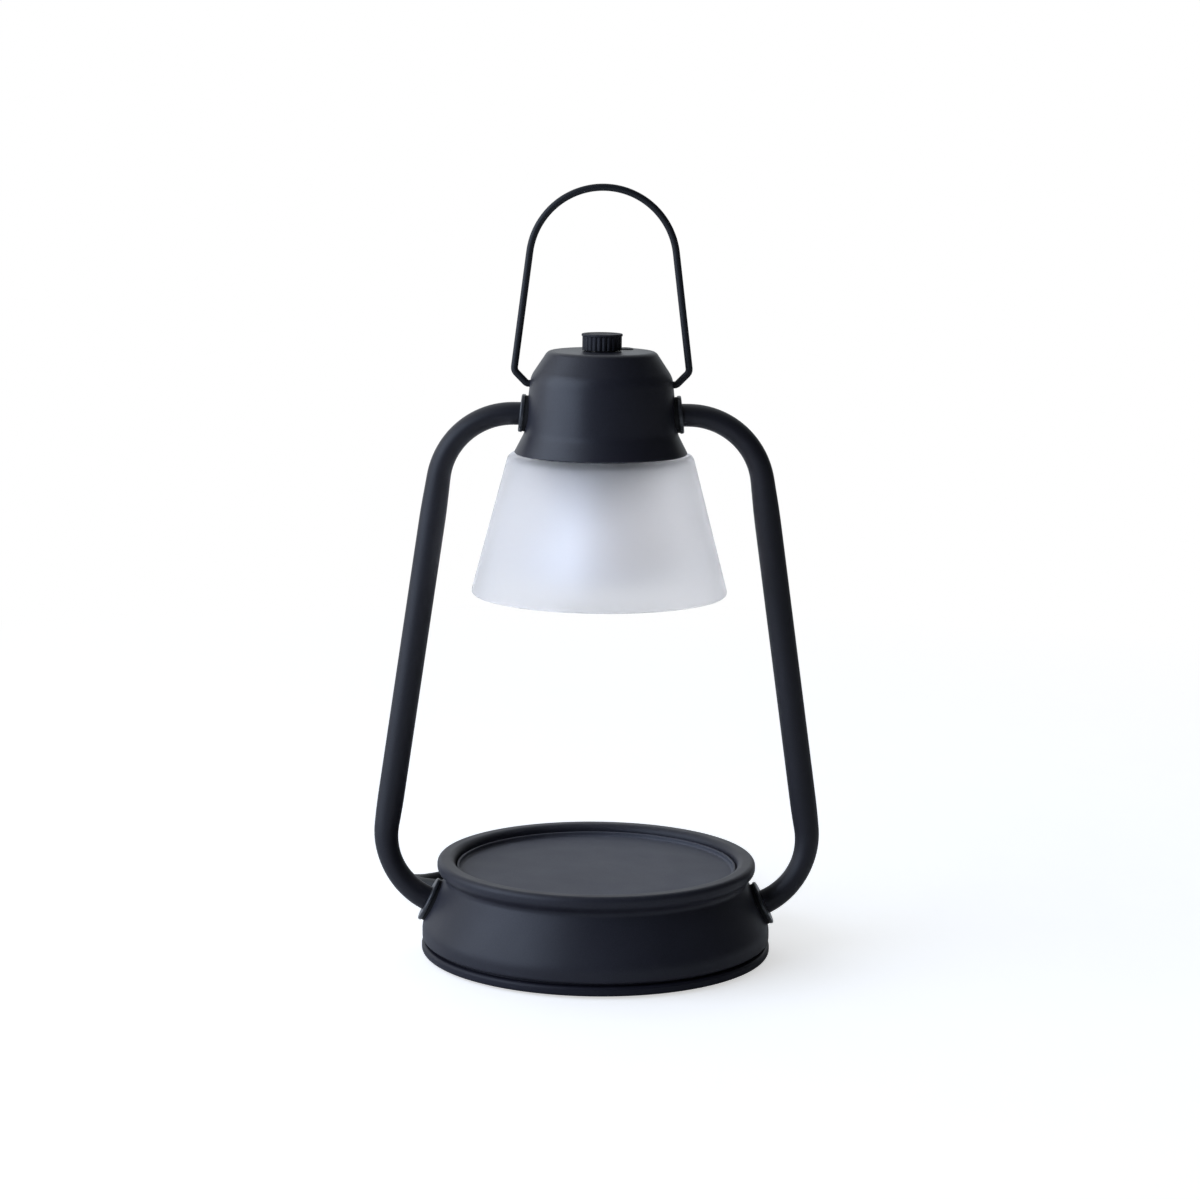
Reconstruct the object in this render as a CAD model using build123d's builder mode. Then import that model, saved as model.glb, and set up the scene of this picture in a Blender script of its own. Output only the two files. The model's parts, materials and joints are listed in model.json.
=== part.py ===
from build123d import *

import os
from math import acos, atan2, cos, degrees, hypot, radians, sin, sqrt, tan

# Candle warmer lamp: a weighted round base with a candle tray, two bent tubes that carry a
# bell-shaped cap, a frosted glass shade with a reflector bulb inside, a dimmer knob on top
# and a wire bail to carry it by.
# Millimetres. The table is z = 0, +Z is up, the tubes stand in the XZ plane and the front
# faces -Y.

os.makedirs("parts", exist_ok=True)

# ---------------------------------------------------------------- base
foot_r = 5.0
foot_t = 1.8
foot_proud = 0.8
foot_inset = 16.3         # from the shell's widest point to a foot's centre
foot_count = 4

plate_overhang = 0.2      # how far the plate stands out past the shell
plate_t = 3.4
plate_edge_r = 1.2
seam_depth = 2.5          # how far the dark seam above the plate runs in
seam_gap = 0.9

shell_r = 62.3            # widest point of the bell-shaped shell
shell_wall = 1.2
band_h = 5.2              # upright band at the foot of the shell
flank_h = 17.2            # leaning flank, band to neck
neck_inset = 8.4          # how far the neck lies inside the widest point
flare_h = 3.0             # neck to the foot of the rim's upright edge
rim_edge_h = 3.6
rim_flare = 3.1           # how far the rim stands out past the neck
rim_w = 6.5               # breadth of the rim's top
flange_w = 8.3            # flange that the plate is screwed to
ledge_w = 4.5             # ledge that the tray lies on
foot_bend_r = 1.3
band_bend_r = 8.0
neck_bend_r = 2.0
rim_foot_bend_r = 3.0
rim_bend_r = 1.5
recess_bend_r = 2.6
ledge_bend_r = 0.4

tray_recess = 4.0
tray_t = 1.2
tray_gap = 0.5
tray_lip_h = 2.0          # upturned edge of the tray
tray_lip_t = 1.1

screw_r = 1.45
thread_r = 1.5
plate_screw_head_r = 2.9
plate_screw_len = 7.0
plate_screw_inset = 5.1   # from the shell's widest point to a screw's axis
plate_screw_count = 4

# ---------------------------------------------------------------- tubes
tube_r = 4.7
tube_bore_r = 3.0
tube_drop = 22.2          # from the cap's top to the short level run into its side
tube_shoulder_x = 53.7    # where the level run would meet the leaning run
tube_lean = 8.25          # degrees from upright
tube_upper_bend_r = 26.5
tube_lower_bend_r = 26.5
base_joint_h = 7.3        # height of the lower joint above the band
spigot_r = 4.0
spigot_clearance = 0.1
spigot_end_gap = 1.0      # how far a spigot stands past its nut

base_washer_r = 8.1
base_washer_t = 1.2
base_gasket_t = 0.9
cap_washer_r = 6.7
cap_washer_t = 1.4
cap_gasket_t = 0.9
gasket_inset = 0.35       # how far a gasket's edge lies inside its washer's
nut_af = 13.0
nut_t = 4.0

# ---------------------------------------------------------------- cap
cap_top = 216.1
cap_bottom = 180.4
cap_wall = 1.0
cap_top_r = 18.9
cap_shoulder_r = 24.9
cap_shoulder_z = 207.1
cap_waist_r = 26.95
cap_waist_z = 187.3
cap_mouth_r = 30.5
cap_edge_bend_r = 2.5
cap_shoulder_bend_r = 9.0
cap_flare_bend_r = 7.0

# ---------------------------------------------------------------- shade, socket and bulb
shade_gap = 0.3           # between the cap's edge and the top of the glass
shade_wall = 2.6
shade_top_r = 32.4
shade_mouth_r = 45.4
shade_mouth_z = 130.7
shade_hole_r = 18.5
shade_bend_r = 2.8

socket_r = 17.3
socket_collar_r = 23.0
socket_collar_t = 2.5
socket_skirt_z = 170.0
socket_body_top = 188.0
socket_neck_r = 13.5
socket_neck_top = 197.0
socket_bore_r = 15.0
socket_seat_z = 185.6
pin_hole_depth = 7.5
pin_hole_r = 2.7
ring_r = 23.0
ring_t = 4.4
ring_bore_gap = 0.1
lead_hole_depth = 4.0

bulb_base_r = 12.6
bulb_base_h = 16.0
bulb_face_r = 25.2
bulb_face_z = 135.8
bulb_rim_h = 3.6
bulb_belly_r = 22.0
bulb_belly_z = 150.0
bulb_throat_r = 13.4
bulb_wall = 1.4
bulb_lens_t = 1.6
bulb_lens_inset = 0.4
bulb_pin_r = 2.5
bulb_pin_len = 6.5
bulb_pin_pitch = 10.0
capsule_r = 4.5
capsule_h = 20.0

# ---------------------------------------------------------------- bracket and dimmer
bracket_azimuth = 48.0    # degrees about Z, so that the strap clears the two spigots
bracket_t = 1.2
bracket_w = 10.0
bracket_half = 15.6
bracket_screw_r = 12.4    # distance of the anti-turn screw from the knob's axis
bracket_screw_head_r = 2.8
bracket_screw_head_t = 0.55
bracket_screw_len = 6.0
socket_screw_half = 8.5   # half the distance between the socket's two screws
socket_screw_head_r = 2.6
socket_screw_head_t = 1.6
socket_screw_len = 5.0

dimmer_r = 8.0
dimmer_t = 8.0
bushing_r = 3.0
bushing_stand = 0.6       # how far the bushing stands past its nut
dimmer_nut_af = 8.0
dimmer_nut_t = 1.8
shaft_r = 2.0
shaft_clearance = 0.05
shaft_reach = 2.2         # how far the shaft stands into the knob past its hollow
shaft_flat = 0.6
shaft_tail = 5.0          # length of the shaft inside the dimmer's housing

knob_gap = 0.35
knob_h = 5.75
knob_r = 6.95
knob_flange_r = 7.2
knob_flange_t = 0.8
knob_hollow_r = 5.1
knob_hollow_roof = 0.5    # space left over the bushing
flute_r = 0.5
flute_depth = 0.35
flute_count = 24

# ---------------------------------------------------------------- bail
wire_r = 1.25
bail_pivot_z = 204.5
bail_clearance = 0.1
bail_end_x = 19.6
bail_bend_x = 26.2
bail_foot_x = 30.7
bail_foot_rise = 4.6
bail_bow_rise = 42.7      # centre of the bow above the pivot
bail_bow_r = 25.7
bail_bend_r = 1.5
bail_foot_bend_r = 2.4
retainer_r = 2.6
retainer_t = 1.2
retainer_inset = 1.6      # from the end of the wire to the retainer

# ---------------------------------------------------------------- cord
cord_r = 2.4
cord_azimuth = 139.5      # degrees about Z, where the cord leaves the base
cord_exit_h = 5.1         # height of the exit above the underside of the flange
bush_reach = 11.7         # how far the bush stands out of the shell
bush_tail = 9.0           # how far it reaches inside
bush_r = 3.7
bush_tip_r = 3.0
bush_clearance = 0.05
block_inset = 26.3        # from the shell's widest point to the terminal block's middle
block_l = 20.0
block_w = 14.0
block_h = 12.0
lead_r = 1.6
socket_lead_r = 0.8
socket_lead_pitch_r = 7.0

coil_x = 10.0
coil_y = 104.0
coil_outer_r = 38.5
coil_inner_r = 18.7
coil_upper_outer_r = 36.0
coil_upper_inner_r = 21.2
coil_layers = 2

plug_x = 11.0
plug_y = 80.0
plug_l = 22.0
plug_w = 20.0
plug_h = 12.0
plug_relief_l = 12.0
plug_relief_r = 3.6
plug_edge_r = 2.4
blade_l = 16.0
blade_w = 6.3
blade_t = 1.5
blade_pitch = 12.7
blade_root = 4.0          # how far a blade reaches into the body

# The free cord from the bush to its coil. Chosen by hand: out of the base, down to the
# table, and round a loop behind the left foot.
cord_route = [
    (-66.5, 57.0, 5.4),
    (-71.3, 71.5, 2.4),
    (-67.0, 87.0, 2.4),
    (-54.5, 97.8, 2.4),
    (-38.5, 98.5, 2.4),
    (-25.5, 89.5, 2.4),
    (-16.5, 76.5, 2.4),
]
arc_share = 0.49          # a cord's arc takes this share of its shorter run
# The short tail from the top of the coil into the plug.
tail_route = [
    (-10.0, 127.8, 12.1),
    (-21.1, 118.5, 12.1),
    (-21.1, 91.7, 13.4),
    (-9.4, 80.0, 15.0),
]

# ---------------------------------------------------------------- worked-out places
plate_r = shell_r + plate_overhang
neck_r = shell_r - neck_inset
rim_r = neck_r + rim_flare
rim_inner_r = rim_r - rim_w
ledge_r = rim_inner_r - ledge_w
flange_r = shell_r - flange_w
foot_pitch_r = shell_r - foot_inset
plate_screw_pitch_r = shell_r - plate_screw_inset
block_r = shell_r - block_inset

tube_z = cap_top - tube_drop

plate_bottom = foot_proud
plate_top = plate_bottom + plate_t
shell_bottom = plate_top + seam_gap
flange_top = shell_bottom + shell_wall
band_top = shell_bottom + band_h
neck_z = band_top + flank_h
rim_foot_z = neck_z + flare_h
rim_top = rim_foot_z + rim_edge_h
tray_top = rim_top - tray_recess
ledge_z = tray_top - tray_t

flank_tilt = degrees(atan2(shell_r - neck_r, flank_h))
base_joint_z = band_top + base_joint_h
base_joint_x = shell_r - base_joint_h * tan(radians(flank_tilt))
flank_cos, flank_sin = cos(radians(flank_tilt)), sin(radians(flank_tilt))

cap_taper = degrees(atan2(cap_waist_r - cap_shoulder_r, cap_shoulder_z - cap_waist_z))
cap_joint_x = cap_shoulder_r + (cap_shoulder_z - tube_z) * tan(radians(cap_taper))
cap_underside = cap_top - cap_wall

shade_top = cap_bottom - shade_gap
collar_top = shade_top + socket_collar_t
ring_top = shade_top - shade_wall

dimmer_top = cap_underside - bracket_t
bushing_top = cap_top + dimmer_nut_t + bushing_stand
knob_bottom = cap_top + knob_gap
knob_top = knob_bottom + knob_h
knob_hollow_top = bushing_top + knob_hollow_roof
shaft_top = knob_hollow_top + shaft_reach

cord_exit_z = shell_bottom + cord_exit_h
cord_dir = (cos(radians(cord_azimuth)), sin(radians(cord_azimuth)))
cord_side = (-cord_dir[1], cord_dir[0])


def radial(distance, height):
    """Return the point at a distance from the axis on the cord's azimuth."""
    return (distance * cord_dir[0], distance * cord_dir[1], height)


def seat_depth(inner_r, half_width):
    """Return how far inside a round wall a flat piece of this half width seats."""
    return inner_r - sqrt(inner_r**2 - half_width**2)


def cord_radii(points):
    """Return the largest arc that each corner of a cord's route has room for."""
    runs = [Vector(*after) - Vector(*before) for before, after in zip(points, points[1:])]
    rooms = [run.length for run in runs]
    # The first and the last run hold one arc each, so it can take twice the share.
    rooms[0] *= 2
    rooms[-1] *= 2
    radii = []
    for index in range(len(runs) - 1):
        half_turn = radians(runs[index].get_angle(runs[index + 1])) / 2
        radii.append(arc_share * min(rooms[index], rooms[index + 1]) / tan(half_turn))
    return radii


# ---------------------------------------------------------------- planes of the joints
base_joint = Plane(
    origin=(base_joint_x, 0, base_joint_z), x_dir=(0, 1, 0), z_dir=(flank_cos, 0, flank_sin)
)
cap_normal = (cos(radians(cap_taper)), 0, sin(radians(cap_taper)))
cap_joint = Plane(origin=(cap_joint_x, 0, tube_z), x_dir=(0, 1, 0), z_dir=cap_normal)
base_gasket_face = base_joint.offset(base_gasket_t)
cap_gasket_face = cap_joint.offset(cap_gasket_t)
base_washer_face = base_gasket_face.offset(base_washer_t)
cap_washer_face = cap_gasket_face.offset(cap_washer_t)

nut_corner = nut_af / 2 / cos(radians(30))
base_nut_face = -shell_wall - seat_depth(base_joint_x - shell_wall, nut_corner)
base_spigot_end = base_nut_face - nut_t - spigot_end_gap
cap_nut_face = cap_joint_x - cap_wall - seat_depth(cap_joint_x - cap_wall, nut_corner) - 0.5
cap_spigot_end = cap_nut_face - nut_t - spigot_end_gap

# The lower corner of a tube is where its leaning run meets the line square to the flank.
lean_tan = tan(radians(tube_lean))
corner_reach = (tube_shoulder_x - base_joint_x + (tube_z - base_joint_z) * lean_tan) / (
    flank_cos + flank_sin * lean_tan
)
tube_foot_x = base_joint_x + corner_reach * flank_cos
tube_foot_z = base_joint_z + corner_reach * flank_sin
spigot_foot_x = base_joint_x + base_spigot_end * flank_cos
spigot_foot_z = base_joint_z + base_spigot_end * flank_sin

# ---------------------------------------------------------------- base
shell_outline = [
    (flange_r, shell_bottom),
    (shell_r, shell_bottom),
    (shell_r, band_top),
    (neck_r, neck_z),
    (rim_r, rim_foot_z),
    (rim_r, rim_top),
    (rim_inner_r, rim_top),
    (rim_inner_r, ledge_z),
    (ledge_r, ledge_z),
]
shell_bends = [foot_bend_r, band_bend_r, neck_bend_r, rim_foot_bend_r]
shell_bends += [rim_bend_r, recess_bend_r, ledge_bend_r]

# The shell's outer form, filled in, which the gaskets are cut to.
with BuildPart() as base_envelope:
    with BuildSketch(Plane.XZ):
        with BuildLine():
            wall_line = FilletPolyline(*shell_outline, radius=shell_bends)
            Polyline(wall_line @ 1, (0, ledge_z), (0, shell_bottom), wall_line @ 0)
        make_face()
    revolve(axis=Axis.Z)

with BuildPart() as base_shell:
    with BuildSketch(Plane.XZ):
        with BuildLine():
            FilletPolyline(*shell_outline, radius=shell_bends)
            offset(amount=shell_wall, side=Side.LEFT)
        make_face()
    revolve(axis=Axis.Z)
    for side in (1, -1):
        joint = base_joint if side > 0 else Plane(
            origin=(-base_joint_x, 0, base_joint_z),
            x_dir=(0, 1, 0),
            z_dir=(-flank_cos, 0, flank_sin),
        )
        with BuildSketch(joint.offset(-4 * shell_wall)):
            Circle(spigot_r + spigot_clearance)
        extrude(amount=8 * shell_wall, mode=Mode.SUBTRACT)
    with BuildSketch(Plane.XY.offset(shell_bottom)):
        with PolarLocations(plate_screw_pitch_r, plate_screw_count):
            Circle(thread_r)
    extrude(amount=shell_wall, mode=Mode.SUBTRACT)
    bush_plane = Plane(
        origin=radial(0, cord_exit_z), x_dir=(0, 0, 1), z_dir=(cord_dir[0], cord_dir[1], 0)
    )
    with BuildSketch(bush_plane.offset(neck_r)):
        Circle(bush_r)
    extrude(amount=2 * (shell_r - neck_r), mode=Mode.SUBTRACT)
base_shell.part.label = "base_shell"
export_step(base_shell.part, "parts/base_shell.step")

with BuildPart() as tray_disc:
    with BuildSketch(Plane.XY.offset(ledge_z)):
        Circle(rim_inner_r - tray_gap)
    extrude(amount=tray_t + tray_lip_h)
    fillet(tray_disc.faces().sort_by(Axis.Z)[-1].edges(), tray_lip_t / 4)
    with BuildSketch(Plane.XY.offset(tray_top)):
        Circle(rim_inner_r - tray_gap - tray_lip_t)
    extrude(amount=tray_lip_h, mode=Mode.SUBTRACT)
tray_disc.part.label = "tray_disc"
export_step(tray_disc.part, "parts/tray_disc.step")

with BuildPart() as bottom_plate:
    with BuildSketch(Plane.XY.offset(plate_bottom)):
        Circle(plate_r)
    extrude(amount=plate_t)
    fillet(bottom_plate.edges().filter_by(GeomType.CIRCLE), plate_edge_r)
    with BuildSketch(Plane.XY.offset(plate_top)):
        Circle(plate_r - seam_depth)
    extrude(amount=seam_gap)
    with BuildSketch(Plane.XY.offset(plate_bottom)):
        with PolarLocations(foot_pitch_r, foot_count, start_angle=45):
            Circle(foot_r)
    extrude(amount=foot_t - foot_proud, mode=Mode.SUBTRACT)
    with BuildSketch(Plane.XY.offset(plate_bottom)):
        with PolarLocations(plate_screw_pitch_r, plate_screw_count):
            Circle(thread_r)
    extrude(amount=plate_t + seam_gap, mode=Mode.SUBTRACT)
    with BuildSketch(Plane.XY.offset(plate_bottom)) as sink_mouth:
        with PolarLocations(plate_screw_pitch_r, plate_screw_count):
            Circle(plate_screw_head_r)
    extrude(amount=plate_screw_head_r - thread_r, taper=45, mode=Mode.SUBTRACT)
bottom_plate.part.label = "bottom_plate"
export_step(bottom_plate.part, "parts/bottom_plate.step")

with BuildPart() as plate_screws:
    with BuildSketch(Plane.XY.offset(plate_bottom)):
        with PolarLocations(plate_screw_pitch_r, plate_screw_count):
            Circle(plate_screw_head_r)
    extrude(amount=plate_screw_head_r - screw_r, taper=45)
    with BuildSketch(Plane.XY.offset(plate_bottom)):
        with PolarLocations(plate_screw_pitch_r, plate_screw_count):
            Circle(screw_r)
    extrude(amount=plate_screw_len)
plate_screws.part.label = "plate_screws"
export_step(plate_screws.part, "parts/plate_screws.step")

with BuildPart() as rubber_feet:
    with BuildSketch(Plane.XY):
        with PolarLocations(foot_pitch_r, foot_count, start_angle=45):
            Circle(foot_r)
    extrude(amount=foot_t)
rubber_feet.part.label = "rubber_feet"
export_step(rubber_feet.part, "parts/rubber_feet.step")

# ---------------------------------------------------------------- tubes and their fixings
with BuildPart() as tube_right:
    with BuildLine(Plane.XZ) as tube_path:
        FilletPolyline(
            (cap_spigot_end, tube_z),
            (tube_shoulder_x, tube_z),
            (tube_foot_x, tube_foot_z),
            (spigot_foot_x, spigot_foot_z),
            radius=[tube_upper_bend_r, tube_lower_bend_r],
        )
    tube_wire = tube_path.wire()
    with BuildSketch(Plane(origin=tube_wire @ 0, z_dir=tube_wire % 0)):
        Circle(tube_r)
    sweep(path=tube_wire)
    split(bisect_by=cap_washer_face, keep=Keep.TOP)
    split(bisect_by=base_washer_face, keep=Keep.TOP)
    with BuildSketch(Plane(origin=tube_wire @ 0, z_dir=tube_wire % 0)):
        Circle(spigot_r)
    extrude(amount=cap_joint_x + 2 * (cap_gasket_t + cap_washer_t) - cap_spigot_end)
    with BuildSketch(Plane(origin=tube_wire @ 1, z_dir=-(tube_wire % 1))):
        Circle(spigot_r)
    extrude(amount=1.5 * (base_gasket_t + base_washer_t) - base_spigot_end)
    with BuildSketch(Plane(origin=tube_wire @ 0, z_dir=tube_wire % 0)):
        Circle(tube_bore_r)
    sweep(path=tube_wire, mode=Mode.SUBTRACT)
tube_right.part.label = "tube_right"
export_step(tube_right.part, "parts/tube_right.step")

with BuildPart() as tube_left:
    mirror(tube_right.part, about=Plane.YZ)
tube_left.part.label = "tube_left"
export_step(tube_left.part, "parts/tube_left.step")

with BuildPart() as base_washers:
    with BuildSketch(base_gasket_face):
        Circle(base_washer_r)
    extrude(amount=base_washer_t)
    outer_face = base_washers.faces().sort_by(Axis((0, 0, 0), base_joint.z_dir))[-1]
    fillet(outer_face.edges(), base_washer_t / 2.5)
    with BuildSketch(base_gasket_face):
        Circle(spigot_r + spigot_clearance)
    extrude(amount=base_washer_t, mode=Mode.SUBTRACT)
    mirror(about=Plane.YZ)
base_washers.part.label = "base_washers"
export_step(base_washers.part, "parts/base_washers.step")

# A gasket is cut to the round wall that it lies against.
with BuildPart() as base_gaskets:
    with BuildSketch(base_joint.offset(-shell_wall)):
        Circle(base_washer_r - gasket_inset)
    extrude(amount=shell_wall + base_gasket_t)
    with BuildSketch(base_joint.offset(-shell_wall)):
        Circle(spigot_r + spigot_clearance)
    extrude(amount=shell_wall + base_gasket_t, mode=Mode.SUBTRACT)
    add(base_envelope.part, mode=Mode.SUBTRACT)
    mirror(about=Plane.YZ)
base_gaskets.part.label = "base_gaskets"
export_step(base_gaskets.part, "parts/base_gaskets.step")

with BuildPart() as base_nuts:
    with BuildSketch(base_joint.offset(base_nut_face)):
        RegularPolygon(nut_corner, 6)
        Circle(spigot_r + spigot_clearance, mode=Mode.SUBTRACT)
    extrude(amount=-nut_t)
    mirror(about=Plane.YZ)
base_nuts.part.label = "base_nuts"
export_step(base_nuts.part, "parts/base_nuts.step")

# ---------------------------------------------------------------- cap
cap_outline = [
    (bushing_r, cap_top),
    (cap_top_r, cap_top),
    (cap_shoulder_r, cap_shoulder_z),
    (cap_waist_r, cap_waist_z),
    (cap_mouth_r, cap_bottom),
]
# The flare runs on past the edge, so that the edge can be cut level.
flare_run = 2 * cap_wall / (cap_waist_z - cap_bottom)
cap_overrun = (
    cap_mouth_r + flare_run * (cap_mouth_r - cap_waist_r),
    cap_bottom - 2 * cap_wall,
)
cap_line_points = cap_outline[:-1] + [cap_overrun]
cap_bends = [cap_edge_bend_r, cap_shoulder_bend_r, cap_flare_bend_r]

with BuildPart() as cap_envelope:
    with BuildSketch(Plane.XZ):
        with BuildLine():
            cap_line = FilletPolyline(*cap_line_points, radius=cap_bends)
            Polyline(cap_line @ 1, (0, cap_overrun[1]), (0, cap_top), cap_line @ 0)
        make_face()
    revolve(axis=Axis.Z)

with BuildPart() as lamp_cap:
    with BuildSketch(Plane.XZ):
        with BuildLine():
            FilletPolyline(*cap_line_points, radius=cap_bends)
            offset(amount=cap_wall, side=Side.RIGHT)
        make_face()
    revolve(axis=Axis.Z)
    split(bisect_by=Plane.XY.offset(cap_bottom), keep=Keep.TOP)
    with BuildSketch(Plane.YZ.offset(-cap_mouth_r)):
        with Locations((0, tube_z)):
            Circle(spigot_r + spigot_clearance)
        with Locations((0, bail_pivot_z)):
            Circle(wire_r + bail_clearance)
    extrude(amount=2 * cap_mouth_r, mode=Mode.SUBTRACT)
    with BuildSketch(Plane.XY.offset(cap_underside)):
        with PolarLocations(bracket_screw_r, 1, start_angle=bracket_azimuth):
            Circle(thread_r)
    extrude(amount=cap_wall, mode=Mode.SUBTRACT)
lamp_cap.part.label = "lamp_cap"
export_step(lamp_cap.part, "parts/lamp_cap.step")

with BuildPart() as cap_washers:
    with BuildSketch(cap_gasket_face):
        Circle(cap_washer_r)
    extrude(amount=cap_washer_t)
    outer_face = cap_washers.faces().sort_by(Axis((0, 0, 0), cap_joint.z_dir))[-1]
    fillet(outer_face.edges(), cap_washer_t / 2.5)
    with BuildSketch(Plane.YZ):
        with Locations((0, tube_z)):
            Circle(spigot_r + spigot_clearance)
    extrude(amount=2 * cap_joint_x, mode=Mode.SUBTRACT)
    mirror(about=Plane.YZ)
cap_washers.part.label = "cap_washers"
export_step(cap_washers.part, "parts/cap_washers.step")

with BuildPart() as cap_gaskets:
    with BuildSketch(cap_joint.offset(-cap_washer_t)):
        Circle(cap_washer_r - gasket_inset)
    extrude(amount=cap_washer_t + cap_gasket_t)
    with BuildSketch(Plane.YZ):
        with Locations((0, tube_z)):
            Circle(spigot_r + spigot_clearance)
    extrude(amount=2 * cap_joint_x, mode=Mode.SUBTRACT)
    add(cap_envelope.part, mode=Mode.SUBTRACT)
    mirror(about=Plane.YZ)
cap_gaskets.part.label = "cap_gaskets"
export_step(cap_gaskets.part, "parts/cap_gaskets.step")

with BuildPart() as cap_nuts:
    with BuildSketch(Plane.YZ.offset(cap_nut_face)):
        with Locations((0, tube_z)):
            RegularPolygon(nut_corner, 6)
            Circle(spigot_r + spigot_clearance, mode=Mode.SUBTRACT)
    extrude(amount=-nut_t)
    mirror(about=Plane.YZ)
cap_nuts.part.label = "cap_nuts"
export_step(cap_nuts.part, "parts/cap_nuts.step")

# ---------------------------------------------------------------- bracket inside the cap
bracket_dir = (cos(radians(bracket_azimuth)), sin(radians(bracket_azimuth)))
bracket_plane = Plane(
    origin=(0, 0, 0),
    x_dir=(bracket_dir[0], bracket_dir[1], 0),
    z_dir=(bracket_dir[1], -bracket_dir[0], 0),
)
bracket_mid = (socket_neck_top + cap_underside) / 2
bracket_h = cap_underside - socket_neck_top

with BuildPart() as socket_bracket:
    with BuildSketch(bracket_plane):
        with Locations((0, bracket_mid)):
            RectangleRounded(2 * bracket_half, bracket_h, 2 * bracket_t)
            RectangleRounded(
                2 * (bracket_half - bracket_t),
                bracket_h - 2 * bracket_t,
                bracket_t,
                mode=Mode.SUBTRACT,
            )
    extrude(amount=bracket_w / 2, both=True)
    with BuildSketch(Plane.XY.offset(dimmer_top - bracket_t)):
        Circle(bushing_r)
        with PolarLocations(bracket_screw_r, 1, start_angle=bracket_azimuth):
            Circle(thread_r)
    extrude(amount=2 * bracket_t, mode=Mode.SUBTRACT)
    with BuildSketch(Plane.XY.offset(socket_neck_top)):
        with PolarLocations(socket_screw_half, 2, start_angle=bracket_azimuth):
            Circle(thread_r)
    extrude(amount=bracket_t, mode=Mode.SUBTRACT)
socket_bracket.part.label = "socket_bracket"
export_step(socket_bracket.part, "parts/socket_bracket.step")

with BuildPart() as bracket_screw:
    with BuildSketch(Plane.XY.offset(cap_top)):
        with PolarLocations(bracket_screw_r, 1, start_angle=bracket_azimuth):
            Circle(bracket_screw_head_r)
    extrude(amount=bracket_screw_head_t)
    fillet(bracket_screw.faces().sort_by(Axis.Z)[-1].edges(), bracket_screw_head_t / 2)
    with BuildSketch(Plane.XY.offset(cap_top)):
        with PolarLocations(bracket_screw_r, 1, start_angle=bracket_azimuth):
            Circle(screw_r)
    extrude(amount=-bracket_screw_len)
bracket_screw.part.label = "bracket_screw"
export_step(bracket_screw.part, "parts/bracket_screw.step")

bracket_floor = socket_neck_top + bracket_t
with BuildPart() as socket_screws:
    with BuildSketch(Plane.XY.offset(bracket_floor)):
        with PolarLocations(socket_screw_half, 2, start_angle=bracket_azimuth):
            Circle(socket_screw_head_r)
    extrude(amount=socket_screw_head_t)
    with BuildSketch(Plane.XY.offset(bracket_floor)):
        with PolarLocations(socket_screw_half, 2, start_angle=bracket_azimuth):
            Circle(screw_r)
    extrude(amount=-bracket_t - socket_screw_len)
socket_screws.part.label = "socket_screws"
export_step(socket_screws.part, "parts/socket_screws.step")

# ---------------------------------------------------------------- socket, ring and shade
with BuildPart() as lamp_socket:
    with BuildSketch(Plane.XZ):
        with BuildLine():
            Polyline(
                (socket_bore_r, socket_skirt_z),
                (socket_r, socket_skirt_z),
                (socket_r, shade_top),
                (socket_collar_r, shade_top),
                (socket_collar_r, collar_top),
                (socket_r, collar_top),
                (socket_r, socket_body_top),
                (socket_neck_r, socket_body_top),
                (socket_neck_r, socket_neck_top),
                (0, socket_neck_top),
                (0, socket_seat_z),
                (socket_bore_r, socket_seat_z),
                close=True,
            )
        make_face()
    revolve(axis=Axis.Z)
    with BuildSketch(Plane.XY.offset(socket_seat_z)):
        with GridLocations(bulb_pin_pitch, 0, 2, 1):
            Circle(pin_hole_r)
    extrude(amount=pin_hole_depth, mode=Mode.SUBTRACT)
    with BuildSketch(Plane.XY.offset(socket_neck_top)):
        with PolarLocations(socket_screw_half, 2, start_angle=bracket_azimuth):
            Circle(thread_r)
    extrude(amount=-socket_screw_len, mode=Mode.SUBTRACT)
lamp_socket.part.label = "lamp_socket"
export_step(lamp_socket.part, "parts/lamp_socket.step")

with BuildPart() as shade_ring:
    with BuildSketch(Plane.XY.offset(ring_top)):
        Circle(ring_r)
        Circle(socket_r + ring_bore_gap, mode=Mode.SUBTRACT)
    extrude(amount=-ring_t)
    fillet(shade_ring.faces().sort_by(Axis.Z)[0].outer_wire().edges(), ring_t / 4)
shade_ring.part.label = "shade_ring"
export_step(shade_ring.part, "parts/shade_ring.step")

with BuildPart() as glass_shade:
    with BuildSketch(Plane.XZ):
        with BuildLine():
            FilletPolyline(
                (shade_hole_r, shade_top),
                (shade_top_r, shade_top),
                (shade_mouth_r, shade_mouth_z),
                radius=[shade_bend_r],
            )
            offset(amount=shade_wall, side=Side.RIGHT)
        make_face()
    revolve(axis=Axis.Z)
    mouth_edges = glass_shade.edges().filter_by(GeomType.CIRCLE).sort_by(Axis.Z)[:2]
    fillet(mouth_edges, shade_wall / 3)
glass_shade.part.label = "glass_shade"
export_step(glass_shade.part, "parts/glass_shade.step")

# ---------------------------------------------------------------- bulb
bulb_base_bottom = socket_seat_z - bulb_base_h
with BuildPart() as bulb_base:
    with BuildSketch(Plane.XY.offset(bulb_base_bottom)):
        Circle(bulb_base_r)
    extrude(amount=bulb_base_h)
    with BuildSketch(Plane.XY.offset(socket_seat_z)):
        with GridLocations(bulb_pin_pitch, 0, 2, 1):
            Circle(bulb_pin_r)
    extrude(amount=-bulb_pin_len / 2, mode=Mode.SUBTRACT)
bulb_base.part.label = "bulb_base"
export_step(bulb_base.part, "parts/bulb_base.step")

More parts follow.
